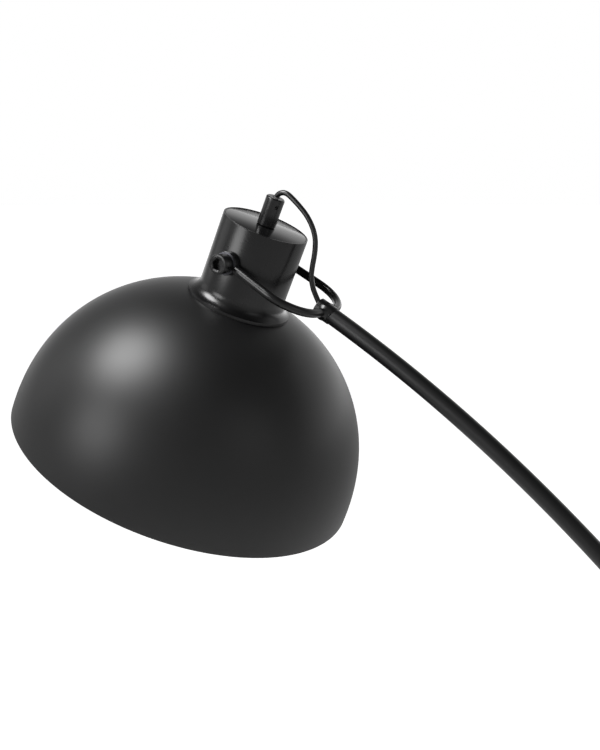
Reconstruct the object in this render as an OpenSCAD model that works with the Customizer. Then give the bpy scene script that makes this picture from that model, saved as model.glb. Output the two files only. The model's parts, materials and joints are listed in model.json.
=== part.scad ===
// Arc floor lamp: a dome shade on a pivoting neck, held in a rod yoke at the tip of a
// long curved tube that rises from a round weighted base.
// Millimetres. The origin is the centre of the base's underside, on the floor. +Z is up,
// the pole stands towards +X and the arm reaches over towards -X.

/* [Shade] */
// Outside diameter of the dome at its rim
shade_d = 350; // [290:1:420]
// Height of the dome from its rim to its crown
shade_h = 176; // [140:1:212]
// How square the dome's shoulder is (2 is a true half ellipse)
shade_fullness = 2.1; // [2:0.05:2.5]
// Thickness of the pressed sheet
shade_wall = 1; // [0.8:0.1:2]
// Diameter of the rolled bead inside the rim
rim_bead_d = 3; // [2.4:0.2:5]
// Radius of the flat pressed seat at the crown
seat_r = 30; // [28.5:0.5:34]

/* [Neck] */
// Outside diameter of the neck cup
neck_d = 83; // [69:1:100]
// Wall of the neck cup
neck_wall = 2; // [1.6:0.1:3]
// Height of the neck's top edge above the tilt pivot
neck_above = 35.5; // [30:0.5:43]
// Depth of the dome's crown below the tilt pivot
neck_below = 39; // [34:0.5:47]
// How far the foot of the neck spreads past its wall
foot_spread = 9; // [6:0.5:11]
// Radius of the hollow curve at the foot
foot_fillet = 12; // [11:0.5:15]
// Height of the foot's upright edge
foot_edge = 3; // [2:0.5:4]
// Thickness of the inset lid
lid_t = 2; // [1.5:0.1:3]

/* [Cord grip] */
// Diameter of the cord grip on the lid
grip_d = 18; // [15:0.5:22]
// Height of the cord grip
grip_h = 28; // [23:1:34]
// Diameter of the round flex
cord_d = 5; // [4.5:0.1:5.6]

/* [Yoke] */
// Diameter of the yoke's bent rod
rod_d = 8; // [6.6:0.2:9.6]
// Gap between the neck and the widest part of each rod
rod_gap = 4.5; // [3.5:0.5:8]
// Distance from the pivot to the closed end of the yoke
yoke_reach = 90; // [86:1:108]
// Bend radius of the yoke's corners, on the rod's centre line
yoke_corner_r = 36; // [30:1:40]
// Outside diameter of the welded eyes
eye_d = 22; // [20:0.5:26]
// Thickness of the eyes
eye_t = 6.5; // [5:0.5:8]
// Thread diameter of the pivot screws
pivot_d = 12; // [10:0.5:14]

/* [Arm and pole] */
// Outside diameter of the tube
tube_d = 16; // [13.4:0.2:19.2]
// Wall of the tube
tube_wall = 1.2; // [1:0.1:1.6]
// Radius of the arc, on the tube's centre line
arm_radius = 1450; // [1210:10:1740]
// Slope of the arm's tip below the horizontal, in degrees
tip_slope = 30; // [20:1:40]
// Length of the straight pole above the base
pole_h = 430; // [358:1:516]
// Rest tilt of the shade's axis from the vertical, in degrees
rest_tilt = 23; // [10:1:35]

/* [Base] */
// Diameter of the base
base_d = 320; // [290:1:384]
// Overall height of the base
base_h = 30; // [28:1:36]
// Distance of the pole from the base's centre
pole_x = 100; // [80:1:120]
// Thickness of the sheet cover
cover_t = 1.5; // [1:0.1:2.5]
// Thickness of the foam pad under the base
pad_t = 3; // [2:0.5:4]

/* [Foot switch] */
// Length of the switch body
switch_l = 66; // [60:1:72]
// Width of the switch body
switch_w = 30; // [28:1:36]
// Travel of the push button
button_travel = 2.5; // [1.5:0.1:3]

/* [Hidden] */
$fn = 72;
black = [0.07, 0.07, 0.075];
black_plastic = [0.09, 0.09, 0.09];
white_paint = [0.93, 0.92, 0.89];
steel = [0.62, 0.62, 0.64];
brass = [0.80, 0.62, 0.28];
opal = [0.96, 0.95, 0.90];

fit = 0.05;          // clearance of two pieces that sit in one another
seam = 0.3;          // gap between pieces that move past each other
flex_lap = 0.2;      // how far a thicker stretch of the flex runs over the next one
lap_grow = 0.02;     // and how much thicker it is

// Shade and neck, in the head's own frame: Z along the shade's axis, origin at the pivot
shade_r = shade_d / 2;
neck_r = neck_d / 2;
neck_in_r = neck_r - neck_wall;
rim_z = -neck_below - shade_h;
function dome_rise(r, big_r, big_h) =
    big_h * pow(1 - pow(r / big_r, shade_fullness), 1 / shade_fullness);
function dome_z(r) = rim_z + dome_rise(r, shade_r, shade_h);
seat_z = dome_z(seat_r);
dome_steps = 40;
// Even steps of angle round the dome, from the rim to the edge of the flat seat
seat_angle = acos(pow(seat_r / shade_r, shade_fullness / 2));
function dome_curve(big_r, big_h, z0) = [for (i = [0 : dome_steps])
    let (a = seat_angle * i / dome_steps, r = big_r * pow(cos(a), 2 / shade_fullness))
    [r, z0 + dome_rise(r, big_r, big_h)]];
function reversed(list) = [for (i = [len(list) - 1 : -1 : 0]) list[i]];
function arc(cx, cy, r, a0, a1, n) = [for (i = [0 : n])
    let (a = a0 + (a1 - a0) * i / n) [cx + r * cos(a), cy + r * sin(a)]];

foot_r = neck_r + foot_spread;
foot_top_z = dome_z(foot_r) + foot_edge;
foot_end_angle = 180 + acos(1 - foot_spread / foot_fillet);
fillet_z = foot_top_z - foot_fillet * sin(foot_end_angle);
lid_gap = 0.3;
lid_drop = 0.2;
neck_lip = 1.5;
lid_r = neck_r - neck_lip - lid_gap;
lid_top_z = neck_above - lid_drop;
lid_low_z = lid_top_z - lid_t;
ledge_w = 2.5;
ledge_h = 2;

// Lampholder and bulb, with the standard 27 mm Edison thread
holder_r = 18.5;
skirt_r = 19.8;
skirt_drop = 25;
shoulder_r = 24;
shoulder_t = 2;
holder_split_z = seat_z + 37;
cap_top_z = holder_split_z + 18;
boss_top_z = cap_top_z + 7;
holder_floor_z = seat_z + 11;
shell_r = 14.1;
shell_t = 0.5;
skirt_end_z = seat_z - skirt_drop;
bulb_thread_r = 13.4;
bulb_top_z = seat_z + 5.5;
bulb_neck_z = skirt_end_z + 6;
globe_r = 30;
globe_z = bulb_top_z - 80;
glass_t = 1;
nipple_r = 5;
nipple_bore_r = cord_d / 2 + 0.6;
nipple_low_z = cap_top_z + 1;
nipple_high_z = lid_top_z + grip_h * 0.55;
grip_top_z = lid_top_z + grip_h;
grip_screw_z = lid_top_z + grip_h * 0.75;
grip_screw_r = 2;
grip_screw_turn = -40;
tooth_washer_t = 0.8;
grip_nut_h = 3.5;
grip_nut_flats = 14;

// Pivot hardware, counted outwards from the neck along Y
shank_r = pivot_d / 2;
socket_head_r = pivot_d * 0.75;
socket_head_h = pivot_d;
socket_flats = pivot_d * 5 / 6;
spacer_r = pivot_d * 0.82;
spacer_out = neck_r + 0.7;
eye_in = spacer_out + seam;
eye_out = eye_in + eye_t;
spring_washer_t = 0.8;
spring_washer_r = eye_d / 2 - 0.5;
spring_washer_in = eye_out + seam;
head_in = spring_washer_in + spring_washer_t;
weld_nut_flats = pivot_d * 1.5;
weld_nut_h = 8;
weld_nut_out = sqrt(pow(neck_in_r, 2) - pow(weld_nut_flats / 2 / cos(30), 2)) - fit;
screw_reach = weld_nut_out - weld_nut_h - 2;

// Yoke, in its own frame: X from the pivot towards the arm, Y along the pivot
rod_r = rod_d / 2;
yoke_splay = 5;
rod_side = neck_r + rod_gap + rod_r;
corner_y = rod_side - yoke_corner_r;
end_rod_l = (corner_y + yoke_corner_r * sin(yoke_splay)) / cos(yoke_splay);
corner_x = yoke_reach - yoke_corner_r * cos(yoke_splay) - end_rod_l * sin(yoke_splay);
side_rod_l = (corner_x - shank_r - 1) / cos(yoke_splay) - yoke_corner_r * tan(yoke_splay);
tube_r = tube_d / 2;
bore_r = tube_r - tube_wall;
hub_r = tube_r + 0.75;
hub_start = yoke_reach - 10;
hub_end = yoke_reach + 7;
hub_screw_x = hub_end - 9.5;
hub_screw_r = 2;
spigot_start = hub_start + 4;
spigot_end = hub_end + 12;
sleeve_r = bore_r - 0.1;
sleeve_bore_r = sleeve_r - 1.7;

// Arm and pole, in the lamp's own frame
arc_sweep = 90 - tip_slope;
split_angle = arc_sweep * 0.48;
sleeve_half = 2;
arc_x = pole_x - arm_radius;
arc_z = base_h + pole_h;
pivot_x = arc_x + arm_radius * cos(arc_sweep) - hub_end * cos(tip_slope);
pivot_z = arc_z + arm_radius * sin(arc_sweep) + hub_end * sin(tip_slope);
foot_plug_h = 35;
pole_sleeve_h = 40;

// Base
base_r = base_d / 2;
cover_edge_r = 5;
cover_in_r = base_r - cover_t;
cover_low_z = base_h - cover_t;
stud_r = 5;
recess_top_z = 24;
recess_r = 16;
base_washer_t = 1.5;
base_nut_h = 4.5;
base_nut_flats = 17;
stud_end_z = recess_top_z - base_washer_t - base_nut_h - 0.5;
exit_z = 7.5;
flex_bend_r = stud_end_z - exit_z;
channel_r = cord_d / 2 + 2;
gland_r = 4;
gland_flange_r = 6.5;
gland_collar_t = 3;
gland_taper = 25;
gland_tip_r = cord_d / 2 + 0.9;
gland_tip_x = base_r + gland_collar_t + gland_taper;
collar_r = 19;
collar_h = 5;

// Free flex between the grip and the yoke's hub: X and Z of each point from the pivot
loop_route = [[25.2, 59], [26.4, 60.4], [29, 62], [32.5, 62.6], [36, 61.8], [39.5, 59.6],
    [47.5, 52.5], [56, 43.5], [62, 34], [65.5, 24], [66, 15], [65, 6], [63, -4], [62, -13],
    [63.5, -22.5], [67, -31], [70.5, -37.5], [74.2, -42.8], [78, -45]];
// Flex from the base to the foot switch
lead_route_a = [[188, 0, 7.5], [198, 0, 6.5], [208, 2, 5], [217, 7, 3.5], [224, 15, 2.5],
    [228.5, 25, 2.5], [230, 36, 2.5], [230, 48, 3], [230, 60, 4.5], [230, 70, 6], [230, 74, 6]];
// Flex from the foot switch to the coil
lead_route_b = [[230, 132, 6], [230, 138, 6], [231, 148, 5], [233.5, 159, 4], [235, 169, 3.7],
    [235, 178, 3.7]];
// Flex from the coil to the plug
lead_route_c = [[168, 178, 13.7], [168, 170, 13.2], [168, 161, 11.5], [168, 152, 9.3],
    [168, 143, 7.6], [168, 135, 7], [168, 128, 7]];
coil_x = 201.5;
coil_y = 190;
coil_mid_r = 28.5;
coil_side = 15;
coil_z = 8.7;
coil_chamfer = 3;
tie_w = 8;
tie_t = 1;
tie_turn = 270;
switch_x = 230;
switch_y = 103;
plug_x = 168;
plug_back_y = 134;

// Foot switch
switch_corner_r = 8;
switch_wall = 2;
switch_split_z = 9;
switch_h = 20;
module_h = 8;
button_r = 10;
button_flange = 2;
button_flange_t = 1.5;
button_z = switch_h - switch_wall - seam - button_flange_t;
button_top_z = switch_h + button_travel + 0.5;
button_top_t = 2;
spring_r = 4.5;
spring_wire_r = 0.5;
spring_turns = 5;
entry_z = 6;
switch_screw_x = 9;
switch_screw_y = switch_l / 2 - 7;

// Plug
plug_w = 36;
plug_l = 36;
plug_h = 14;
plug_taper = 14;
pin_r = 2;
pin_l = 19;
pin_pitch = 18.6;
tube_sides = 10;

// ---- helpers ----

module in_head() {
    translate([pivot_x, 0, pivot_z]) rotate([0, rest_tilt, 0]) children();
}

module in_yoke() {
    translate([pivot_x, 0, pivot_z]) rotate([0, tip_slope, 0]) children();
}

// Both ends of the pivot: the child is drawn pointing along +Y and repeated towards -Y
module both_sides() {
    children();
    mirror([0, 1, 0]) children();
}

module along_y(start, length, r) {
    translate([0, start, 0]) rotate([-90, 0, 0]) cylinder(r = r, h = length);
}

module along_x(start, length, r) {
    translate([start, 0, 0]) rotate([0, 90, 0]) cylinder(r = r, h = length);
}

module hex_along_y(start, length, flats) {
    translate([0, start, 0]) rotate([-90, 0, 0])
        cylinder(r = flats / 2 / cos(30), h = length, $fn = 6);
}

module ring(z, h, r_out, r_in) {
    difference() {
        translate([0, 0, z]) cylinder(r = r_out, h = h);
        translate([0, 0, z - 1]) cylinder(r = r_in, h = h + 2);
    }
}

// A round section swept along the arm's arc, from angle a0 to a1 above the pole's top
module arc_rod(a0, a1, r) {
    translate([arc_x, 0, arc_z]) rotate([90, 0, 0]) rotate([0, 0, a0])
        rotate_extrude(angle = a1 - a0) translate([arm_radius, 0]) circle(r = r);
}

module rounded_plate(w, l, r, h) {
    linear_extrude(height = h) {
        square([w - 2 * r, l], center = true);
        square([w, l - 2 * r], center = true);
        for (x = [-1, 1], y = [-1, 1]) translate([x * (w / 2 - r), y * (l / 2 - r)]) circle(r = r);
    }
}

function unit(v) = v / norm(v);
function tangent(p, i) = unit(p[min(i + 1, len(p) - 1)] - p[max(i - 1, 0)]);
// Corners of a tube's rings; level is a direction that the route never runs along
function tube_rings(p, r, level) = [for (i = [0 : len(p) - 1])
    let (t = tangent(p, i), side = unit(cross(t, level)), up = cross(side, t))
    for (k = [0 : tube_sides - 1]) p[i] + r * (side * cos(360 * k / tube_sides)
        + up * sin(360 * k / tube_sides))];
function tube_faces(count) = concat(
    [[for (k = [0 : tube_sides - 1]) k]],
    [[for (k = [tube_sides - 1 : -1 : 0]) (count - 1) * tube_sides + k]],
    [for (i = [0 : count - 2], k = [0 : tube_sides - 1])
        let (a = i * tube_sides + k, b = i * tube_sides + (k + 1) % tube_sides)
        [a, a + tube_sides, b + tube_sides, b]]);

module tube_along(route, level) {
    polyhedron(points = tube_rings(route, cord_d / 2, level), faces = tube_faces(len(route)));
}

// ---- head: everything that tilts with the shade ----

module shade() {
    hole_r = skirt_r + 0.3;
    outline = concat(dome_curve(shade_r, shade_h, rim_z), [[hole_r, seat_z]],
        [[hole_r, seat_z - shade_wall]],
        reversed(dome_curve(shade_r - shade_wall, shade_h - shade_wall, rim_z)));
    color(black) in_head() {
        rotate_extrude() polygon(outline);
        rotate_extrude() translate([shade_r - rim_bead_d / 2, rim_z]) circle(d = rim_bead_d);
    }
}

module shade_ring() {
    ring_h = 7;
    ring_r = seat_r - 2;
    z = seat_z - shade_wall - fit;
    color(black_plastic) in_head() difference() {
        union() {
            translate([0, 0, z - 2]) cylinder(r = ring_r, h = 2);
            translate([0, 0, z - ring_h]) cylinder(r1 = ring_r - 4, r2 = ring_r - 3, h = ring_h);
        }
        translate([0, 0, z - ring_h - 1]) cylinder(r = skirt_r + fit, h = ring_h + 2);
    }
}

module neck_cup() {
    bevel = 0.6;
    step = foot_spread / 3;
    under = [for (i = [0 : 3]) [foot_r - i * step, dome_z(foot_r - i * step) + fit]];
    outline = concat(
        [[neck_r - neck_lip, neck_above], [neck_r - bevel, neck_above],
        [neck_r, neck_above - bevel]],
        arc(neck_r + foot_fillet, fillet_z, foot_fillet, 180, foot_end_angle, 14),
        under, [[neck_in_r, dome_z(neck_in_r) + fit],
        [neck_in_r, lid_low_z - ledge_h], [neck_in_r - ledge_w, lid_low_z - ledge_h],
        [neck_in_r - ledge_w, lid_low_z], [neck_r - neck_lip, lid_low_z]]);
    color(black) in_head() difference() {
        rotate_extrude() polygon(outline);
        along_y(-neck_d, 2 * neck_d, shank_r + 0.1);
    }
}

module neck_lid() {
    color(black) in_head() ring(lid_low_z, lid_t, lid_r, nipple_r + fit);
}

module grip_side_hole(r, start) {
    translate([0, 0, grip_screw_z]) rotate([0, 0, grip_screw_turn])
        along_x(start, grip_d, r);
}

module cord_grip() {
    r = grip_d / 2;
    bevel = 1;
    mouth = 1.2;
    cord_r = cord_d / 2 + fit;
    outline = [[nipple_r + fit, lid_top_z], [r - bevel, lid_top_z], [r, lid_top_z + bevel],
        [r, grip_top_z - bevel], [r - bevel, grip_top_z], [cord_r + mouth, grip_top_z],
        [cord_r, grip_top_z - mouth], [cord_r, nipple_high_z + 1],
        [nipple_r + fit, nipple_high_z + 1]];
    color(black) in_head() difference() {
        rotate_extrude() polygon(outline);
        grip_side_hole(grip_screw_r + fit, 0);
    }
}

module grip_set_screw() {
    flats = 2;
    recess = 1;
    color(steel) in_head() difference() {
        intersection() {
            grip_side_hole(grip_screw_r, cord_d / 2 + fit);
            translate([0, 0, lid_top_z]) cylinder(r = grip_d / 2 - recess, h = grip_h);
        }
        translate([0, 0, grip_screw_z]) rotate([0, 0, grip_screw_turn])
            translate([grip_d / 2 - recess - 2, 0, 0]) rotate([0, 90, 0])
            cylinder(r = flats / 2 / cos(30), h = 4, $fn = 6);
    }
}

module grip_nipple() {
    color(brass) in_head() ring(nipple_low_z, nipple_high_z - nipple_low_z, nipple_r, nipple_bore_r);
}

module grip_tooth_washer() {
    color(steel) in_head() ring(lid_low_z - tooth_washer_t, tooth_washer_t, 8.5, nipple_r + fit);
}

module grip_nut() {
    color(brass) in_head() translate([0, 0, lid_low_z - tooth_washer_t - grip_nut_h])
        difference() {
            cylinder(r = grip_nut_flats / 2 / cos(30), h = grip_nut_h, $fn = 6);
            translate([0, 0, -1]) cylinder(r = nipple_r + fit, h = grip_nut_h + 2);
        }
}

module holder_cap() {
    wall = 2;
    outline = [[nipple_r + fit, boss_top_z], [nipple_r + 3, boss_top_z],
        [nipple_r + 3, cap_top_z], [holder_r - 4, cap_top_z], [holder_r, cap_top_z - 4],
        [holder_r, holder_split_z], [holder_r - wall, holder_split_z],
        [holder_r - wall, cap_top_z - 5], [holder_r - 6, cap_top_z - wall],
        [nipple_r + fit, cap_top_z - wall]];
    color(black_plastic) in_head() rotate_extrude() polygon(outline);
}

module holder_body() {
    wall = 2;
    outline = [[holder_r, holder_split_z], [holder_r, seat_z + shoulder_t],
        [shoulder_r, seat_z + shoulder_t], [shoulder_r, seat_z + fit], [skirt_r, seat_z + fit],
        [skirt_r, skirt_end_z], [shell_r + fit, skirt_end_z], [shell_r + fit, holder_floor_z - 3],
        [2, holder_floor_z - 3], [2, holder_floor_z], [holder_r - wall, holder_floor_z],
        [holder_r - wall, holder_split_z]];
    color(black_plastic) in_head() rotate_extrude() polygon(outline);
}

module holder_screw_shell() {
    top = holder_floor_z - 4;
    color(brass) in_head() ring(skirt_end_z + 4, top - skirt_end_z - 4, shell_r, shell_r - shell_t);
}

module holder_contact() {
    color(brass) in_head() {
        translate([0, 0, bulb_top_z]) cylinder(r = 3.5, h = holder_floor_z - 3 - bulb_top_z);
        translate([0, 0, bulb_top_z]) cylinder(r = 1.5, h = holder_floor_z + 1 - bulb_top_z);
    }
}

module bulb_contact() {
    color(brass) in_head() translate([0, 0, bulb_top_z - 2.5]) cylinder(r = 4.5, h = 2.5);
}

module bulb_cap() {
    z = bulb_neck_z;
    top = bulb_top_z - 2.5;
    outline = [[0, top], [5, top], [bulb_thread_r - 2, top - 3], [bulb_thread_r, top - 5],
        [bulb_thread_r, z], [0, z]];
    color(steel) in_head() rotate_extrude() polygon(outline);
}

module bulb_globe() {
    neck = bulb_thread_r - 0.4;
    // The neck's straight flare meets the globe where this angle is reached
    blend = 48;
    inner = globe_r - glass_t;
    outline = concat([[0, bulb_neck_z - fit], [neck, bulb_neck_z - fit], [neck, bulb_neck_z - 6]],
        arc(0, globe_z, globe_r, blend, -90, 20), [[0, globe_z - inner]],
        reversed(arc(0, globe_z, inner, blend, -84, 18)),
        [[neck - glass_t, bulb_neck_z - 6], [neck - glass_t, bulb_neck_z - 2],
        [0, bulb_neck_z - 2]]);
    color(opal) in_head() rotate_extrude() polygon(outline);
}

module pivot_screws() {
    socket_depth = socket_head_h / 2;
    bevel = 0.8;
    color(black) in_head() both_sides() difference() {
        union() {
            along_y(screw_reach, head_in - screw_reach, shank_r);
            along_y(head_in, socket_head_h - bevel, socket_head_r);
            translate([0, head_in + socket_head_h - bevel, 0]) rotate([-90, 0, 0])
                cylinder(r1 = socket_head_r, r2 = socket_head_r - bevel, h = bevel);
        }
        hex_along_y(head_in + socket_head_h - socket_depth, socket_depth + 1, socket_flats);
    }
}

module pivot_spring_washers() {
    color(black) in_head() both_sides() difference() {
        along_y(spring_washer_in, spring_washer_t, spring_washer_r);
        along_y(spring_washer_in - 1, spring_washer_t + 2, shank_r + fit);
    }
}

module pivot_spacers() {
    saddle = 3;
    color(black_plastic) in_head() both_sides() difference() {
        along_y(neck_r - saddle, spacer_out - neck_r + saddle, spacer_r);
        cylinder(r = neck_r + fit, h = 4 * spacer_r, center = true, $fn = 360);
        along_y(neck_r - saddle - 1, spacer_out - neck_r + saddle + 2, shank_r + fit);
    }
}

module pivot_weld_nuts() {
    color(steel) in_head() both_sides() difference() {
        hex_along_y(weld_nut_out - weld_nut_h, weld_nut_h, weld_nut_flats);
        along_y(weld_nut_out - weld_nut_h - 1, weld_nut_h + 2, shank_r + fit);
    }
}

module flex_in_neck() {
    low = holder_split_z + 4;
    color(black_plastic) in_head() translate([0, 0, low]) cylinder(d = cord_d, h = grip_top_z - low);
}

// ---- yoke and hub ----

module yoke_branch() {
    difference() {
        union() {
            along_y(eye_in, eye_t, eye_d / 2);
            translate([corner_x, corner_y, 0]) rotate([0, 0, yoke_splay]) {
                translate([-side_rod_l, yoke_corner_r, 0]) along_x(0, side_rod_l, rod_r);
                rotate_extrude(angle = 90) translate([yoke_corner_r, 0]) circle(r = rod_r);
                translate([yoke_corner_r, 0, 0]) along_y(-end_rod_l, end_rod_l, rod_r);
            }
        }
        along_y(eye_in - 10, eye_t + 20, shank_r + 0.08);
        along_y(eye_out, 2 * rod_d, spring_washer_r + seam);
        along_x(hub_start - 20, hub_end - hub_start + 40, hub_r);
    }
}

module yoke_branch_near() {
    color(black) in_yoke() mirror([0, 1, 0]) yoke_branch();
}

module yoke_branch_far() {
    color(black) in_yoke() yoke_branch();
}

module yoke_hub() {
    mouth = 1.2;
    color(black) in_yoke() difference() {
        along_x(hub_start, hub_end - hub_start, hub_r);
        along_x(hub_start - 1, hub_end - hub_start + 2, bore_r);
        translate([hub_start - 0.01, 0, 0]) rotate([0, 90, 0])
            cylinder(r1 = bore_r + mouth, r2 = bore_r, h = mouth);
        translate([hub_screw_x, 0, 0]) cylinder(r = hub_screw_r + fit, h = hub_r + 1);
    }
}

module hub_set_screw() {
    recess = 0.6;
    color(steel) in_yoke() translate([hub_screw_x, 0, 0]) difference() {
        translate([0, 0, bore_r]) cylinder(r = hub_screw_r, h = hub_r - bore_r - recess);
        translate([0, 0, bore_r + 0.6]) cylinder(r = 1.15, h = hub_r, $fn = 6);
    }
}

module arm_spigot() {
    color(steel) in_yoke() difference() {
        union() {
            along_x(spigot_start, hub_end - spigot_start, bore_r - fit);
            along_x(hub_end, spigot_end - hub_end, sleeve_r);
        }
        along_x(spigot_start - 1, spigot_end - spigot_start + 2, sleeve_bore_r);
    }
}

// ---- arm and pole ----

module arm_upper_tube() {
    color(black) difference() {
        arc_rod(split_angle, arc_sweep, tube_r);
        arc_rod(split_angle - 0.1, arc_sweep + 0.1, bore_r);
    }
}

module arm_lower_tube() {
    color(black) difference() {
        arc_rod(0, split_angle, tube_r);
        arc_rod(-0.1, split_angle + 0.1, bore_r);
    }
}

module arm_joint_sleeve() {
    color(steel) difference() {
        arc_rod(split_angle - sleeve_half, split_angle + sleeve_half, sleeve_r);
        arc_rod(split_angle - sleeve_half - 0.1, split_angle + sleeve_half + 0.1, sleeve_bore_r);
    }
}

module pole_joint_sleeve() {
    color(steel) difference() {
        union() {
            arc_rod(0, sleeve_half, sleeve_r);
            translate([pole_x, 0, arc_z - pole_sleeve_h]) cylinder(r = sleeve_r, h = pole_sleeve_h);
        }
        arc_rod(0, sleeve_half + 0.1, sleeve_bore_r);
        translate([pole_x, 0, arc_z - pole_sleeve_h - 1])
            cylinder(r = sleeve_bore_r, h = pole_sleeve_h + 1);
    }
}

module pole_tube() {
    color(black) translate([pole_x, 0, 0]) ring(base_h, pole_h, tube_r, bore_r);
}

module pole_foot() {
    color(steel) translate([pole_x, 0, 0]) difference() {
        union() {
            translate([0, 0, base_h]) cylinder(r = sleeve_r, h = foot_plug_h);
            translate([0, 0, stud_end_z]) cylinder(r = stud_r, h = base_h - stud_end_z);
        }
        translate([0, 0, stud_end_z - 1])
            cylinder(r = nipple_bore_r, h = base_h + foot_plug_h - stud_end_z + 2);
    }
}

module pole_collar() {
    outline = [[tube_r + fit, base_h], [collar_r, base_h], [collar_r, base_h + 1.5],
        [collar_r - 5, base_h + collar_h - 1], [tube_r + 3, base_h + collar_h],
        [tube_r + fit, base_h + collar_h]];
    color(black) translate([pole_x, 0, 0]) rotate_extrude() polygon(outline);
}

// ---- base ----

module base_cover() {
    inner_edge_r = cover_edge_r - cover_t;
    outline = concat([[0, base_h], [base_r - cover_edge_r, base_h]],
        reversed(arc(base_r - cover_edge_r, base_h - cover_edge_r, cover_edge_r, 0, 80, 8)),
        [[base_r, pad_t], [cover_in_r, pad_t]],
        arc(base_r - cover_edge_r, base_h - cover_edge_r, inner_edge_r, 0, 90, 8),
        [[0, cover_low_z]]);
    color(black) difference() {
        rotate_extrude() polygon(outline);
        translate([pole_x, 0, 0]) cylinder(r = stud_r + 0.2, h = base_h + 1);
        translate([0, 0, exit_z]) along_x(base_r - 20, 40, gland_r + fit);
    }
}

module base_weight() {
    r = cover_in_r - 0.5;
    bevel = 4;
    outline = [[0, pad_t], [r, pad_t], [r, cover_low_z - bevel], [r - bevel, cover_low_z],
        [0, cover_low_z]];
    color([0.25, 0.25, 0.26]) difference() {
        rotate_extrude() polygon(outline);
        translate([pole_x, 0, 0]) cylinder(r = stud_r + 0.2, h = base_h + 1);
        translate([pole_x, 0, -1]) cylinder(r = recess_r, h = recess_top_z + 1);
        translate([0, 0, exit_z]) along_x(pole_x, base_r, channel_r);
        translate([pole_x, -channel_r, 0]) cube([base_r, 2 * channel_r, exit_z]);
        translate([0, 0, exit_z]) along_x(r - 4, 10, gland_flange_r + 0.3);
    }
}

module base_pad() {
    color([0.12, 0.12, 0.12]) cylinder(r = cover_in_r - gland_flange_r, h = pad_t);
}

module base_washer() {
    color(steel) translate([pole_x, 0, 0])
        ring(recess_top_z - base_washer_t, base_washer_t, 12, stud_r + 0.2);
}

module base_nut() {
    z = recess_top_z - base_washer_t - base_nut_h;
    color(steel) translate([pole_x, 0, z]) difference() {
        cylinder(r = base_nut_flats / 2 / cos(30), h = base_nut_h, $fn = 6);
        translate([0, 0, -1]) cylinder(r = stud_r + fit, h = base_nut_h + 2);
    }
}

module base_gland() {
    flange_t = 2;
    color(black_plastic) translate([0, 0, exit_z]) difference() {
        union() {
            along_x(cover_in_r - flange_t, flange_t, gland_flange_r - 1);
            along_x(cover_in_r - flange_t, cover_t + flange_t + gland_collar_t, gland_r);
            along_x(base_r, gland_collar_t, gland_flange_r);
            translate([base_r + gland_collar_t, 0, 0]) rotate([0, 90, 0])
                cylinder(r1 = gland_flange_r - 1, r2 = gland_tip_r, h = gland_taper);
        }
        along_x(cover_in_r - 10, gland_tip_x, cord_d / 2 + fit);
    }
}

// ---- flex ----

module flex_in_arm() {
    r = cord_d / 2;
    start = yoke_reach;
    color(black_plastic) {
        in_yoke() along_x(start, hub_end - start + flex_lap, r + lap_grow);
        arc_rod(0, arc_sweep, r);
        translate([pole_x, 0, stud_end_z]) cylinder(r = r, h = arc_z - stud_end_z);
        translate([pole_x + flex_bend_r, 0, stud_end_z]) rotate([90, 0, 0]) rotate([0, 0, 180])
            rotate_extrude(angle = 90) translate([flex_bend_r, 0]) circle(r = r);
        translate([0, 0, exit_z]) along_x(pole_x + flex_bend_r,
            gland_tip_x - pole_x - flex_bend_r, r);
    }
}

module flex_loop() {
    route = [for (p = loop_route) [pivot_x + p[0], 0, pivot_z + p[1]]];
    color(black_plastic) tube_along(route, [0, 1, 0]);
}

module lead_to_switch() {
    color(black_plastic) tube_along(lead_route_a, [0, 0, 1]);
}

module lead_to_coil() {
    color(black_plastic) tube_along(lead_route_b, [0, 0, 1]);
}

module lead_to_plug() {
    color(black_plastic) tube_along(lead_route_c, [0, 0, 1]);
}

module coil_ring(grow) {
    h = coil_side / 2 + grow;
    c = h - coil_chamfer;
    translate([coil_x, coil_y, coil_z]) rotate_extrude() translate([coil_mid_r, 0])
        polygon([[-h, -c], [-c, -h], [c, -h], [h, -c], [h, c], [c, h], [-c, h], [-h, c]]);
}

module lead_coil() {
    color(black_plastic) coil_ring(0);
}

module coil_tie() {
    side = coil_side + 2 * tie_t;
    color([0.15, 0.15, 0.15]) difference() {
        translate([coil_x, coil_y, coil_z]) rotate([0, 0, tie_turn])
            translate([coil_mid_r, 0, 0]) cube([side, tie_w, side], center = true);
        coil_ring(fit);
    }
}

module plug_body() {
    y = plug_back_y - plug_taper;
    color(black_plastic) difference() {
        union() {
            translate([plug_x, y - plug_l / 2, 0]) rounded_plate(plug_w, plug_l, 6, plug_h);
            translate([plug_x, y, plug_h / 2]) rotate([-90, 0, 0])
                cylinder(r1 = 5.5, r2 = cord_d / 2 + 0.9, h = plug_taper);
        }
        translate([plug_x, y - 6, plug_h / 2]) rotate([-90, 0, 0])
            cylinder(r = cord_d / 2 + fit, h = plug_taper + 10);
    }
}

module plug_pins() {
    color(steel) for (side = [-1, 1])
        translate([plug_x + side * pin_pitch / 2, plug_back_y - plug_taper - plug_l, plug_h / 2])
        rotate([90, 0, 0]) {
            cylinder(r = pin_r, h = pin_l - 1);
            translate([0, 0, pin_l - 1]) cylinder(r1 = pin_r, r2 = pin_r - 1, h = 1);
        }
}

// ---- foot switch ----

module at_switch() {
    translate([switch_x, switch_y, 0]) children();
}

module switch_screw_places() {
    for (side = [-1, 1])
        translate([side * switch_screw_x, side * switch_screw_y, 0]) children();
}

module switch_cord_entries() {
    translate([0, -switch_l, entry_z]) rotate([-90, 0, 0])
        cylinder(r = cord_d / 2 + fit, h = 2 * switch_l);
}

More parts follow.
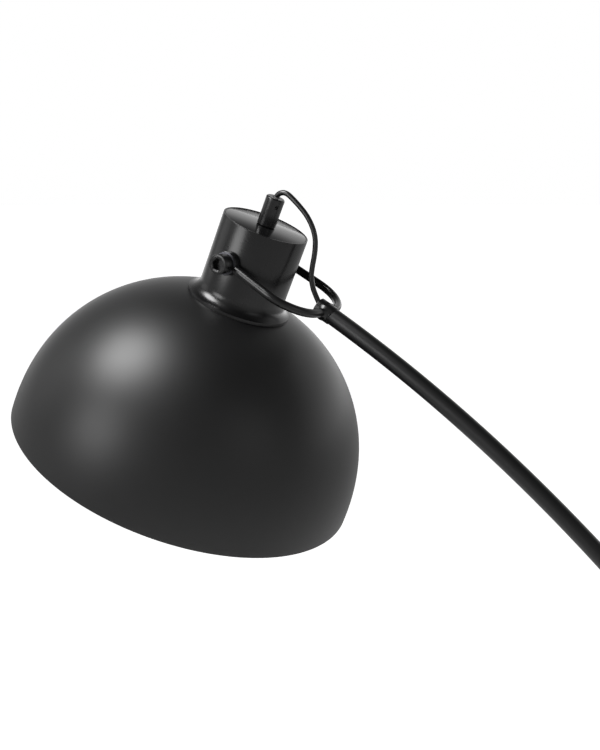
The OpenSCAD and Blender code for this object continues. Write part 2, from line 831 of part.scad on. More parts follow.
module switch_base() {
    color(black_plastic) at_switch() difference() {
        union() {
            difference() {
                rounded_plate(switch_w, switch_l, switch_corner_r, switch_split_z);
                translate([0, 0, switch_wall]) rounded_plate(switch_w - 2 * switch_wall,
                    switch_l - 2 * switch_wall, switch_corner_r - switch_wall, switch_h);
            }
            switch_screw_places() cylinder(r = 3.5, h = switch_split_z);
        }
        switch_cord_entries();
        switch_screw_places() translate([0, 0, -1]) cylinder(r = 1.6, h = switch_h);
        switch_screw_places() translate([0, 0, -1]) cylinder(r = 2.8, h = 3);
    }
}

module switch_cover() {
    h = switch_h - switch_split_z;
    color(black_plastic) at_switch() difference() {
        union() {
            difference() {
                translate([0, 0, switch_split_z])
                    rounded_plate(switch_w, switch_l, switch_corner_r, h);
                translate([0, 0, switch_split_z - 1]) rounded_plate(switch_w - 2 * switch_wall,
                    switch_l - 2 * switch_wall, switch_corner_r - switch_wall,
                    h - switch_wall + 1);
            }
            switch_screw_places() translate([0, 0, switch_split_z])
                cylinder(r = 3.5, h = h - switch_wall);
        }
        translate([0, 0, switch_split_z]) cylinder(r = button_r + seam, h = h + 1);
        switch_screw_places() translate([0, 0, switch_split_z - 1])
            cylinder(r = 1.3, h = h - switch_wall - 1);
    }
}

module switch_module() {
    w = 2 * button_r;
    color([0.85, 0.85, 0.83]) at_switch() translate([0, 0, switch_wall + module_h / 2])
        cube([w - 2, 1.5 * w, module_h], center = true);
}

module switch_screws() {
    color(steel) at_switch() switch_screw_places() {
        difference() {
            translate([0, 0, 0.5]) cylinder(r = 2.7, h = 1.4);
            translate([0, 0, 0]) cube([0.8, 4, 2.2], center = true);
        }
        translate([0, 0, 1.9]) cylinder(r = 1.25, h = switch_h - switch_wall - 5);
    }
}

module switch_button() {
    top = button_top_z;
    flange_z = button_z + button_flange_t;
    cavity_r = spring_r + spring_wire_r + 1;
    cavity_z = top - button_top_t;
    bevel = 1;
    outline = [[0, top], [button_r - bevel, top], [button_r, top - bevel],
        [button_r, flange_z], [button_r + button_flange, flange_z],
        [button_r + button_flange, button_z], [cavity_r, button_z], [cavity_r, cavity_z],
        [0, cavity_z]];
    color(black_plastic) at_switch() rotate_extrude() polygon(outline);
}

module switch_spring() {
    low = switch_wall + module_h + spring_wire_r + fit;
    high = button_top_z - button_top_t - spring_wire_r - fit;
    steps = 16 * spring_turns;
    coil = [for (i = [0 : steps]) let (a = 360 * spring_turns * i / steps)
        [spring_r * cos(a), spring_r * sin(a), low + (high - low) * i / steps]];
    color(steel) at_switch()
        polyhedron(points = tube_rings(coil, spring_wire_r, [0, 0, 1]), faces = tube_faces(steps + 1));
}

shade();
shade_ring();
neck_cup();
neck_lid();
cord_grip();
grip_set_screw();
grip_nipple();
grip_nut();
grip_tooth_washer();
holder_cap();
holder_body();
holder_screw_shell();
holder_contact();
bulb_globe();
bulb_cap();
bulb_contact();
pivot_screws();
pivot_spring_washers();
pivot_spacers();
pivot_weld_nuts();
flex_in_neck();
yoke_branch_near();
yoke_branch_far();
yoke_hub();
hub_set_screw();
arm_spigot();
arm_upper_tube();
arm_joint_sleeve();
arm_lower_tube();
pole_joint_sleeve();
pole_tube();
pole_foot();
pole_collar();
base_cover();
base_weight();
base_pad();
base_washer();
base_nut();
base_gland();
flex_in_arm();
flex_loop();
lead_to_switch();
lead_to_coil();
lead_coil();
coil_tie();
lead_to_plug();
plug_body();
plug_pins();
switch_base();
switch_cover();
switch_module();
switch_screws();
switch_spring();
switch_button();
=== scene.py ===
"""Arc floor lamp: the finished pieces and their materials, built around the lamp's CAD frame.

Metres. The pivot of the head is the centre of two working frames: HEAD has its Z along the
shade's axis, and YOKE has its X along the yoke, from the pivot towards the arm.
"""

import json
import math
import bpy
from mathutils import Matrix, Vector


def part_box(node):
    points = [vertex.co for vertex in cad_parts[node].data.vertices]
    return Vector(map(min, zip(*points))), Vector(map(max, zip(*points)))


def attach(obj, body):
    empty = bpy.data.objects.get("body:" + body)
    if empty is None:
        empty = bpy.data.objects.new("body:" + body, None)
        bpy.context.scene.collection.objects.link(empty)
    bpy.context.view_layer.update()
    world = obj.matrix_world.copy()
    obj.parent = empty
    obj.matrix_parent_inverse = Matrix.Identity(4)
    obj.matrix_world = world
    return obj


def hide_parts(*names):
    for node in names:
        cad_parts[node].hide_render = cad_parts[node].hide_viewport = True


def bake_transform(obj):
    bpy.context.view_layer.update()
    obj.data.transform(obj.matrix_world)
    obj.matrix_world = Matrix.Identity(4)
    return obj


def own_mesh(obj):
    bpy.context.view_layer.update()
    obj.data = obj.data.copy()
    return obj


bl_info = {
    "name": "Arc floor lamp",
    "version": (1, 0, 0),
    "blender": (4, 5, 0),
    "location": "3D View > Sidebar > Arc lamp",
    "description": "Builds an arc floor lamp's shade, yoke, arm, base and flex around its CAD frame",
    "category": "Object",
}

from types import SimpleNamespace

import bmesh
import bpy
from bpy.props import FloatProperty, FloatVectorProperty, IntProperty, PointerProperty
from mathutils import Matrix, Vector
from mathutils.geometry import interpolate_bezier

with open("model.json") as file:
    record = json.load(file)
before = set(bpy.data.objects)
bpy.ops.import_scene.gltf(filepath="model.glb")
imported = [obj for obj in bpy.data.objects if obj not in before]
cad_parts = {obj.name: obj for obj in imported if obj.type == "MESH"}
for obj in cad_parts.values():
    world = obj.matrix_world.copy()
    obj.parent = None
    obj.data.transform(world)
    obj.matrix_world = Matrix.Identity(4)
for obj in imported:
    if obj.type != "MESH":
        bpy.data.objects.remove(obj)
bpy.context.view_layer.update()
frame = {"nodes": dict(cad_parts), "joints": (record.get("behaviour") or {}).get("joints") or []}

MM = 0.001
TAU = 2 * math.pi
PIVOT = Vector(next(joint for joint in frame["joints"] if joint["name"] == "head_tilt")["pos_m"])
REST_TILT = math.radians(23)
TIP_SLOPE = math.radians(30)
# Between the neck and each eye of the yoke, in millimetres
EYE_GAP = 1
HEAD = Matrix.Translation(PIVOT) @ Matrix.Rotation(REST_TILT, 4, "Y")
YOKE = Matrix.Translation(PIVOT) @ Matrix.Rotation(TIP_SLOPE, 4, "Y")
MIRROR_Y = Matrix.Diagonal((1, -1, 1, 1))
Z_TO_X = Matrix.Rotation(math.radians(90), 4, "Y")
Z_TO_Y = Matrix.Rotation(math.radians(-90), 4, "X")
Y_TO_Z = Matrix.Rotation(math.radians(90), 4, "X")


def cad_size(node, axis):
    """Extent of a CAD node along an axis of the lamp, 0 for X, 1 for Y and 2 for Z."""
    low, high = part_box(node)
    return high[axis] - low[axis]


def length(name, description, default):
    """A length of the user's, in metres."""
    return FloatProperty(name=name, description=description, default=default, unit="LENGTH",
                         subtype="DISTANCE", precision=4)


def colour(name, description, default):
    """A colour of the user's, in linear red, green and blue."""
    return FloatVectorProperty(name=name, description=description, default=default,
                               subtype="COLOR", size=3, min=0, max=1)


# ---- sizes and colours ----


class ShadeSizes(bpy.types.PropertyGroup):
    """Dome shade and the fittings inside it."""

    diameter: length("Diameter", "Outside diameter at the rim", 350 * MM)
    height: length("Height", "From the rim to the crown", 176 * MM)
    fullness: FloatProperty(name="Fullness", default=2.1, min=1.8, max=2.6,
                            description="How square the shoulder is; 2 is half an ellipse")
    wall: length("Wall", "Thickness of the pressed sheet", 1 * MM)
    bead: length("Rim bead", "Diameter of the rolled edge", 3 * MM)
    seat: length("Seat", "Radius of the flat seat at the crown", 30 * MM)
    skirt: length("Lampholder skirt", "Outside radius of the lampholder's skirt", 19.8 * MM)
    bulb: length("Bulb", "Radius of the bulb's globe", 30 * MM)


class NeckSizes(bpy.types.PropertyGroup):
    """Neck cup, its lid and the cord grip."""

    diameter: length("Diameter", "Outside diameter of the neck", 83 * MM)
    wall: length("Wall", "Wall of the neck cup", 2 * MM)
    above: length("Above pivot", "From the pivot up to the top edge", 35.5 * MM)
    below: length("Below pivot", "From the pivot down to the crown of the dome", 39 * MM)
    foot_spread: length("Foot spread", "How far the foot stands past the wall", 9 * MM)
    foot_fillet: length("Foot curve", "Radius of the hollow curve at the foot", 12 * MM)
    foot_edge: length("Foot edge", "Height of the foot's upright edge", 3 * MM)
    grip_diameter: length("Grip diameter", "Diameter of the cord grip", cad_size("cord_grip", 1))
    grip_height: length("Grip height", "Height of the cord grip above the lid", 28 * MM)


class YokeSizes(bpy.types.PropertyGroup):
    """Bent rod yoke, its eyes and the pivot screws."""

    rod: length("Rod", "Diameter of the bent rod", 8 * MM)
    reach: length("Reach", "From the pivot to the closed end", 90 * MM)
    corner: length("Corner", "Bend radius of the corners", 36 * MM)
    eye: length("Eye", "Outside diameter of the eyes", 22 * MM)
    eye_wall: length("Eye thickness", "Thickness of the eyes", 6.5 * MM)
    screw: length("Screw", "Thread diameter of the pivot screws", 12 * MM)


class StandSizes(bpy.types.PropertyGroup):
    """Arm, pole and base."""

    tube: length("Tube", "Outside diameter of the tube", cad_size("pole_tube", 1))
    arc: length("Arc", "Radius of the arm's arc", 1450 * MM)
    pole: length("Pole", "Length of the straight pole", cad_size("pole_tube", 2))
    base: length("Base", "Diameter of the base", cad_size("base_cover", 1))
    base_edge: length("Base edge", "Radius of the base's top edge", 5 * MM)
    flex: length("Flex", "Diameter of the round flex", cad_size("flex_in_neck", 1))
    tube_sides: IntProperty(name="Tube sides", default=48, min=16, max=96,
                            description="Sides of the arm's round section")


class LampColours(bpy.types.PropertyGroup):
    """Finishes of the lamp and of the studio floor."""

    lacquer: colour("Lacquer", "Satin powder coat", (0.0045, 0.0045, 0.0047))
    metal: colour("Blackened metal", "Turned and blackened fittings", (0.006, 0.006, 0.0062))
    inside: colour("Inside", "Matt paint inside the shade", (0.80, 0.79, 0.76))
    plastic: colour("Plastic", "Moulded black parts", (0.011, 0.011, 0.0115))
    sheath: colour("Sheath", "Sheath of the flex", (0.007, 0.007, 0.0073))
    steel: colour("Steel", "Zinc plated parts", (0.56, 0.57, 0.60))
    brass: colour("Brass", "Contacts and nipple", (0.72, 0.52, 0.22))
    iron: colour("Iron", "Cast weight in the base", (0.11, 0.11, 0.115))
    opal: colour("Opal glass", "Bulb", (0.90, 0.89, 0.85))
    floor: colour("Floor", "Studio floor", (0.86, 0.86, 0.86))


PROPERTY_GROUPS = {
    "lamp_shade": ShadeSizes,
    "lamp_neck": NeckSizes,
    "lamp_yoke": YokeSizes,
    "lamp_stand": StandSizes,
    "lamp_colours": LampColours,
}


# ---- outlines and paths ----


def arc(centre, radius, start, end, count):
    """Points of an arc in a plane, from start to end in degrees."""
    angles = [math.radians(start + (end - start) * i / count) for i in range(count + 1)]
    return [(centre[0] + radius * math.cos(a), centre[1] + radius * math.sin(a)) for a in angles]


def rounded(corners, step=15):
    """Outline through corners (x, y) or (x, y, radius), with an arc at each corner that has a
    radius. The outline is open, and its ends stay sharp."""
    points = []
    for i, corner in enumerate(corners):
        here = Vector(corner[:2])
        if len(corner) < 3 or i in (0, len(corners) - 1):
            points.append(tuple(here))
            continue
        before = (Vector(corners[i - 1][:2]) - here).normalized()
        after = (Vector(corners[i + 1][:2]) - here).normalized()
        half = before.angle(after) / 2
        middle = here + (before + after).normalized() * corner[2] / math.sin(half)
        first = here + before * corner[2] / math.tan(half) - middle
        turn = first.angle_signed(here + after * corner[2] / math.tan(half) - middle)
        count = max(2, round(math.degrees(abs(turn)) / step))
        for k in range(count + 1):
            spoke = first.copy()
            spoke.rotate(Matrix.Rotation(-turn * k / count, 2))
            points.append(tuple(middle + spoke))
    return points


def smooth_path(points, step):
    """Points of a smooth curve through a route's points, at most about step apart."""
    knots = [Vector(p) for p in points]
    ends = [knots[0] * 2 - knots[1], *knots, knots[-1] * 2 - knots[-2]]
    slopes = [(ends[i + 2] - ends[i]).normalized() for i in range(len(knots))]
    path = [knots[0]]
    for a, b, slope_a, slope_b in zip(knots, knots[1:], slopes, slopes[1:]):
        third = (b - a).length / 3
        count = max(2, math.ceil((b - a).length / step) + 1)
        path += interpolate_bezier(a, a + slope_a * third, b - slope_b * third, b, count)[1:]
    return path


def path_frames(path, level):
    """A matrix at each point of a path, with its Z along the path and its X square to level."""
    frames = []
    for i, point in enumerate(path):
        along = (path[min(i + 1, len(path) - 1)] - path[max(i - 1, 0)]).normalized()
        side = along.cross(level).normalized()
        turn = Matrix((side, along.cross(side), along)).transposed()
        frames.append(Matrix.Translation(point) @ turn.to_4x4())
    return frames


# ---- modelling ----


def spun(profile, steps=96, closed=True, turn=TAU):
    """A profile of (radius, z) points spun about Z."""
    bm = bmesh.new()
    verts = [bm.verts.new((x, 0, z)) for x, z in profile]
    pairs = list(zip(verts, verts[1:])) + ([(verts[-1], verts[0])] if closed else [])
    edges = [bm.edges.new(pair) for pair in pairs]
    full = turn >= TAU
    bmesh.ops.spin(bm, geom=verts + edges, cent=(0, 0, 0), axis=(0, 0, 1), angle=turn,
                   steps=steps, use_merge=full)
    if not full:
        bmesh.ops.holes_fill(bm, edges=[e for e in bm.edges if e.is_boundary], sides=0)
    bmesh.ops.remove_doubles(bm, verts=bm.verts, dist=1e-6)
    bmesh.ops.recalc_face_normals(bm, faces=bm.faces)
    return bm


def extrude_ring(bm, edges):
    """Extrudes a closed ring of edges in place and returns its new edges and vertices."""
    new = bmesh.ops.extrude_edge_only(bm, edges=edges)["geom"]
    verts = [g for g in new if isinstance(g, bmesh.types.BMVert)]
    wanted = set(verts)
    ring = [g for g in new if isinstance(g, bmesh.types.BMEdge) and wanted.issuperset(g.verts)]
    return ring, verts


def swept(frames, radii, sides, closed_ends=True):
    """A round bar that follows the frames, with a radius at each, and its own sheath map."""
    bm = bmesh.new()
    sheath = bm.verts.layers.float_vector.new("sheath")
    made = bmesh.ops.create_circle(bm, cap_ends=False, segments=sides, radius=1)
    ring, verts = list(bm.edges), made["verts"]
    last, along = Matrix.Identity(4), 0
    for i, (place, radius) in enumerate(zip(frames, radii)):
        if i:
            ring, verts = extrude_ring(bm, ring)
            along += (place.translation - frames[i - 1].translation).length
        for vert in verts:
            local = last @ vert.co
            vert.co = place @ (local * radius)
            vert[sheath] = (local.x * radius, local.y * radius, along)
        last = (place @ Matrix.Scale(radius, 4)).inverted()
    if closed_ends:
        bmesh.ops.holes_fill(bm, edges=[e for e in bm.edges if e.is_boundary], sides=0)
    bmesh.ops.recalc_face_normals(bm, faces=bm.faces)
    return bm


def stacked(sections, count=96, closed_ends=True):
    """A shell through stacked sections: (radius at an angle, z) pairs, from one end to the other."""
    bm = bmesh.new()
    made = bmesh.ops.create_circle(bm, cap_ends=False, segments=count, radius=1)
    ring, verts = list(bm.edges), made["verts"]
    for i, (reach, z) in enumerate(sections):
        if i:
            ring, verts = extrude_ring(bm, ring)
        for vert in verts:
            angle = math.atan2(vert.co.y, vert.co.x)
            r = reach(angle)
            vert.co = (r * math.cos(angle), r * math.sin(angle), z)
    if closed_ends:
        bmesh.ops.holes_fill(bm, edges=[e for e in bm.edges if e.is_boundary], sides=0)
    bmesh.ops.recalc_face_normals(bm, faces=bm.faces)
    return bm


def circle(radius):
    """Outline of a circle, as a distance from its middle by angle."""
    return lambda angle: radius


def hexagon(flats):
    """Outline of a hexagon, by its width across the flats."""
    return lambda angle: flats / 2 / math.cos(angle % (TAU / 6) - TAU / 12)


def rounded_box(width, depth, radius):
    """Outline of a rectangle with round corners, as a distance from its middle by angle."""
    half_x, half_y = width / 2, depth / 2
    centre = Vector((half_x - radius, half_y - radius))

    def reach(angle):
        ray = Vector((abs(math.cos(angle)), abs(math.sin(angle))))
        if ray.y * half_x <= ray.x * centre.y:
            return half_x / ray.x
        if ray.x * half_y <= ray.y * centre.x:
            return half_y / ray.y
        middle = ray.dot(centre)
        return middle + math.sqrt(middle * middle - centre.length_squared + radius * radius)

    return reach


def joined(*parts):
    """One bmesh from several; the others are freed."""
    first = parts[0]
    for part in parts[1:]:
        carrier = bpy.data.meshes.new("carrier")
        part.to_mesh(carrier)
        part.free()
        first.from_mesh(carrier)
        bpy.data.meshes.remove(carrier)
    return first


def moved(bm, matrix):
    """The same bmesh, moved, with its faces still outwards where the matrix mirrors it."""
    bmesh.ops.transform(bm, matrix=matrix, verts=bm.verts)
    if matrix.determinant() < 0:
        bmesh.ops.reverse_faces(bm, faces=bm.faces)
    return bm


def merged(bm):
    """Closes a shell whose last section is its first one again."""
    bmesh.ops.remove_doubles(bm, verts=bm.verts, dist=1e-4)
    bmesh.ops.recalc_face_normals(bm, faces=bm.faces)
    return bm


def bored(bm, angle, z, radius, depth, wall, flats):
    """Sinks a round hole into a spun wall at an angle and height, with a hexagon socket in its
    floor. The wall needs rows of points a radius and a half above and below the hole."""
    edge = 0.12
    edge_depth = 0.2
    socket_depth = 1.5
    turn = Matrix.Rotation(-math.radians(angle), 4, "Z")
    back = turn.inverted()
    reach = 1.5 * radius
    patch = []
    for face in bm.faces:
        centre = turn @ face.calc_center_median()
        if centre.x > 0.8 * wall and abs(centre.y) < reach and abs(centre.z - z) < reach:
            patch.append(face)
    bmesh.ops.delete(bm, geom=patch, context="FACES")
    ring = [e for e in bm.edges if e.is_boundary]
    floor = wall - depth
    socket = hexagon(flats)
    # The first outline has no depth of its own, because it lies on the wall
    steps = ((circle(radius + edge), None), (circle(radius), wall - edge_depth),
             (circle(radius), floor), (socket, floor), (socket, floor - socket_depth))
    for outline, x in steps:
        ring, verts = extrude_ring(bm, ring)
        for vert in verts:
            local = turn @ vert.co
            a = math.atan2(local.z - z, local.y)
            r = outline(a)
            y = r * math.cos(a)
            depth_x = math.sqrt(wall * wall - y * y) if x is None else x
            vert.co = back @ Vector((depth_x, y, z + r * math.sin(a)))
    bmesh.ops.holes_fill(bm, edges=ring, sides=0)
    bmesh.ops.recalc_face_normals(bm, faces=bm.faces)


def both_sides(build):
    """What build makes, and its mirror image across the plane of the arm."""
    return joined(build(), moved(build(), MIRROR_Y))


def millimetres(sizes):
    """The lengths of a property group, in millimetres."""
    return SimpleNamespace(**{name: getattr(sizes, name) / MM for name in
                              type(sizes).__annotations__})


def make_piece(name, bm, place, body, slot, finishes, replaces=(), crease=32, unit=MM):
    """A finished piece, drawn in millimetres unless unit says otherwise: its mesh holds its
    place, and its object stays at the origin."""
    moved(bm, place @ Matrix.Diagonal((unit, unit, unit, 1)))
    for face in bm.faces:
        face.smooth = True
    for edge in bm.edges:
        edge.smooth = not edge.is_manifold or edge.calc_face_angle(0) < math.radians(crease)
    mesh = bpy.data.meshes.new(name)
    bm.to_mesh(mesh)
    bm.free()
    for finish in finishes:
        mesh.materials.append(finish)
    piece = bpy.data.objects.new(name, mesh)
    bpy.context.scene.collection.objects.link(piece)
    if body:
        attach(piece, body)
    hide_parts(*replaces)
    return piece


def dress(nodes, finish):
    """Gives CAD nodes that stay a better material."""
    for name in nodes:
        node = frame["nodes"][name]
        for material_slot in node.material_slots:
            material_slot.material = finish


# ---- materials ----


def group_socket(group, name, direction, default=0.0):
    """Adds a number to a node group's INPUT or OUTPUT side."""
    made = group.interface.new_socket(name=name, in_out=direction,
                                      socket_type="NodeSocketFloat")
    made.default_value = default


def add(tree, kind, inputs=(), **settings):
    """A node with its settings, and its inputs set to values or linked to sockets."""
    node = tree.nodes.new(kind)
    for name, value in settings.items():
        setattr(node, name, value)
    for name, value in dict(inputs).items():
        if isinstance(value, bpy.types.NodeSocket):
            tree.links.new(value, node.inputs[name])
        else:
            node.inputs[name].default_value = value
    return node


def surface_group(name, coarse, fine, stretch=(1, 1, 1), attribute=None):
    """A node group that puts out a coarse mottle and a fine grain, both from 0 to 1, at scales
    per metre. It reads Object coordinates, or a map that the piece carries."""
    group = bpy.data.node_groups.get(name)
    if group:
        return group
    group = bpy.data.node_groups.new(name, "ShaderNodeTree")
    group_socket(group, "Coarse scale", "INPUT", coarse)
    group_socket(group, "Fine scale", "INPUT", fine)
    group_socket(group, "Mottle", "OUTPUT")
    group_socket(group, "Grain", "OUTPUT")
    source = add(group, "NodeGroupInput")
    sink = add(group, "NodeGroupOutput")
    if attribute:
        place = add(group, "ShaderNodeAttribute", attribute_name=attribute).outputs["Vector"]
    else:
        place = add(group, "ShaderNodeTexCoord").outputs["Object"]
    turned = add(group, "ShaderNodeMapping", {"Vector": place, "Scale": stretch})
    mottle = add(group, "ShaderNodeTexNoise", {
        "Vector": turned.outputs["Vector"], "Scale": source.outputs["Coarse scale"],
        "Detail": 3.0, "Roughness": 0.55})
    grain = add(group, "ShaderNodeTexNoise", {
        "Vector": turned.outputs["Vector"], "Scale": source.outputs["Fine scale"],
        "Detail": 2.0, "Roughness": 0.5})
    group.links.new(mottle.outputs["Fac"], sink.inputs["Mottle"])
    group.links.new(grain.outputs["Fac"], sink.inputs["Grain"])
    return group


def make_finish(name, tint, roughness, group, scales=None, spread=0.05, shade=0.25, relief=0.02,
                **fixed):
    """A material whose colour and roughness wander with the mottle, and whose surface follows
    the grain. Scales are the group's coarse and fine scale where they aren't its own. Relief
    is the grain's depth in millimetres; spread and shade are how far the roughness and the
    colour wander. Fixed are other inputs of the shader."""
    found = bpy.data.materials.get(name)
    if found:
        return found
    finish = bpy.data.materials.new(name)
    finish.use_nodes = True
    tree = finish.node_tree
    shader = tree.nodes["Principled BSDF"]
    for socket, value in fixed.items():
        shader.inputs[socket.replace("_", " ")].default_value = value
    texture = add(tree, "ShaderNodeGroup", node_tree=group)
    for socket, value in zip(texture.inputs, scales or ()):
        socket.default_value = value
    tinted = add(tree, "ShaderNodeMix", {"Factor": texture.outputs["Mottle"]}, data_type="RGBA")
    tinted.inputs[6].default_value = (*[c * (1 - shade) for c in tint], 1)
    tinted.inputs[7].default_value = (*[min(1, c * (1 + shade)) for c in tint], 1)
    tree.links.new(tinted.outputs[2], shader.inputs["Base Color"])
    wander = add(tree, "ShaderNodeMapRange", {
        "Value": texture.outputs["Mottle"], "From Min": 0.25, "From Max": 0.75,
        "To Min": roughness - spread, "To Max": roughness + spread})
    tree.links.new(wander.outputs["Result"], shader.inputs["Roughness"])
    bump = add(tree, "ShaderNodeBump", {
        "Height": texture.outputs["Grain"], "Strength": 1.0, "Distance": relief * MM})
    tree.links.new(bump.outputs["Normal"], shader.inputs["Normal"])
    return finish


def orange_peel():
    """The faint waves of a sprayed coat."""
    return surface_group("orange_peel", 9, 520)


def tool_marks():
    """The fine grain of turned or drawn metal."""
    return surface_group("tool_marks", 60, 1400)


def spark_texture():
    """The fine pits of a spark-eroded mould."""
    return surface_group("spark_texture", 40, 1500)


def drawn_lines():
    """Lines along a flex, from the map of its sheath."""
    return surface_group("drawn_lines", 300, 1600, (1, 1, 0.03), "sheath")


def tints():
    """The lamp's colours."""
    return bpy.context.scene.lamp_colours


def lacquer():
    """Satin powder coat with a faint orange peel."""
    return make_finish("satin_lacquer", tints().lacquer, 0.43, orange_peel(), spread=0.015,
                       relief=0.012)


def smooth_lacquer(roughness=0.27):
    """The same coat on drawn tube and rod, where it flowed out smoother."""
    return make_finish(f"smooth_lacquer_{roughness * 100:.0f}", tints().lacquer, roughness,
                       orange_peel(), scales=(12, 420), spread=0.015, relief=0.003)


def tube_lacquer():
    """The arm's and the pole's coat, a little duller than the yoke's."""
    return smooth_lacquer(0.36)


def lid_lacquer():
    """The lid's smoother, shinier coat."""
    return make_finish("lid_lacquer", tints().lacquer, 0.12, orange_peel(), scales=(14, 300),
                       spread=0.02, relief=0.004)


def inside_paint():
    """Matt white inside the shade, slightly uneven from the spray gun."""
    return make_finish("inside_paint", tints().inside, 0.62, orange_peel(), scales=(7, 700),
                       spread=0.04, shade=0.03, relief=0.02)


def blackened():
    """Turned metal, blackened, with fine tool marks and a low sheen."""
    return make_finish("blackened_metal", tints().metal, 0.27, tool_marks(), spread=0.05,
                       relief=0.006, Metallic=0.0)


def plated():
    """Zinc plated steel."""
    return make_finish("zinc_plate", tints().steel, 0.34, tool_marks(), scales=(90, 1800),
                       spread=0.08, shade=0.08, relief=0.006, Metallic=1.0)


def brass():
    return make_finish("bare_brass", tints().brass, 0.28, tool_marks(), scales=(120, 1500),
                       spread=0.07, shade=0.12, relief=0.005, Metallic=1.0)


def dark_steel():
    """Spring steel, blued."""
    return make_finish("blued_steel", (0.09, 0.09, 0.10), 0.36, tool_marks(), spread=0.06,
                       relief=0.006, Metallic=1.0)


def cast_iron():
    return make_finish("raw_iron", tints().iron, 0.7, surface_group("casting_skin", 25, 320),
                       spread=0.1, shade=0.35, relief=0.25, Metallic=0.6)


def plastic():
    """Moulded plastic with a fine spark texture."""
    return make_finish("moulded_plastic", tints().plastic, 0.46, spark_texture(), spread=0.05,
                       relief=0.03)


def white_plastic():
    return make_finish("white_moulding", (0.78, 0.775, 0.75), 0.38, spark_texture(), spread=0.05,
                       shade=0.04, relief=0.008)


def foam():
    return make_finish("pad_foam", (0.035, 0.035, 0.036), 0.9, spark_texture(), scales=(30, 900),
                       spread=0.05, shade=0.3, relief=0.35)


def tie_web():
    return make_finish("tie_web", (0.022, 0.022, 0.023), 0.88, spark_texture(),
                       scales=(200, 2400), spread=0.05, shade=0.35, relief=0.2)


def opal():
    """Opal glass: white through and through, with a gloss skin."""
    return make_finish("opal_glass", tints().opal, 0.16, orange_peel(), scales=(20, 90),
                       spread=0.03, shade=0.03, relief=0.01, Subsurface_Weight=0.25,
                       Subsurface_Scale=0.004)


def sheath():
    """The flex's sheath, with faint drawn lines along it."""
    return make_finish("flex_sheath", tints().sheath, 0.27, drawn_lines(), spread=0.05,
                       relief=0.012)


# ---- routes of the flex, as in the lamp's CAD ----

# X and Z from the pivot, in millimetres; the routes of the lead are in metres
LOOP_ROUTE = [
    (25.2, 59), (26.4, 60.4), (29, 62), (32.5, 62.6), (36, 61.8), (39.5, 59.6), (47.5, 52.5),
    (56, 43.5), (62, 34), (65.5, 24), (66, 15), (65, 6), (63, -4), (62, -13), (63.5, -22.5),
    (67, -31), (70.5, -37.5), (74.2, -42.8), (78, -45)]
LEAD_TO_SWITCH = [
    (0.188, 0, 0.0075), (0.198, 0, 0.0065), (0.208, 0.002, 0.005), (0.217, 0.007, 0.0035),
    (0.224, 0.015, 0.0025), (0.2285, 0.025, 0.0025), (0.230, 0.036, 0.0025),
    (0.230, 0.048, 0.003), (0.230, 0.060, 0.0045), (0.230, 0.070, 0.006), (0.230, 0.074, 0.006)]
LEAD_TO_COIL = [
    (0.230, 0.132, 0.006), (0.230, 0.138, 0.006), (0.231, 0.148, 0.005), (0.2335, 0.159, 0.004),
    (0.235, 0.169, 0.0037), (0.235, 0.178, 0.0037)]
LEAD_TO_PLUG = [
    (0.168, 0.178, 0.0137), (0.168, 0.170, 0.0132), (0.168, 0.161, 0.0115),
    (0.168, 0.152, 0.0093), (0.168, 0.143, 0.0076), (0.168, 0.135, 0.007), (0.168, 0.128, 0.007)]
COIL_CENTRE = Vector((0.2015, 0.190, 0.0087))
COIL_RADIUS = 28.5 * MM
SWITCH_CENTRE = Vector((0.230, 0.103, 0))
PLUG_FACE = Vector((0.168, 0.084, 0.007))


def coil_route(flex):
    """The coiled stretch: three layers of three turns, a diameter apart, with the last turn half
    made. It starts and ends along the ring, on the side of the switch and of the plug. Each turn
    lies in a cell, a column out and a layer up, and changes to the next one near its end."""
    cells = [(1, -1), (0, -1), (-1, -1), (-1, 0), (-1, 1), (0, 1), (0, 0), (1, 0), (1, 1)]
    turns = 8.5
    per_turn = 24
    # In degrees: the end of the first change, how much sooner each corner brings the ones
    # after it, and how long a change takes sideways and upwards
    first_change = 355
    early = 21
    sideways = 80
    upwards = 60
    changes = []
    corners = 0
    for k in range(1, len(cells)):
        move = (cells[k][0] - cells[k - 1][0], cells[k][1] - cells[k - 1][1])
        if k > 1 and move != changes[-1][2]:
            corners += 1
        end = first_change + 360 * (k - 1) - early * corners
        changes.append((end, sideways if move[0] else upwards, move))
    points = []
    for i in range(int(turns * per_turn) + 1):
        angle = 360 * i / per_turn
        column, layer = cells[0]
        for end, width, move in changes:
            share = min(1, max(0, (angle - end + width) / width))
            eased = (1 - math.cos(math.pi * share)) / 2
            column += move[0] * eased
            layer += move[1] * eased
        radius = COIL_RADIUS + column * flex
        a = math.radians(angle)
        points.append(COIL_CENTRE + Vector((radius * math.cos(a), radius * math.sin(a),
                                            layer * flex)))
    return points


def make_flex(name, path, level, replaces, body="stand"):
    """A stretch of round flex along a path that lies square to level."""
    flex = bpy.context.scene.lamp_stand.flex
    frames = path_frames(path, Vector(level))
    bm = swept(frames, [flex / 2] * len(frames), sides=20)
    return make_piece(name, bm, Matrix.Identity(4), body, "flex", [sheath()], replaces, unit=1)


def path_length(path):
    return sum((b - a).length for a, b in zip(path, path[1:]))


# ---- operators ----


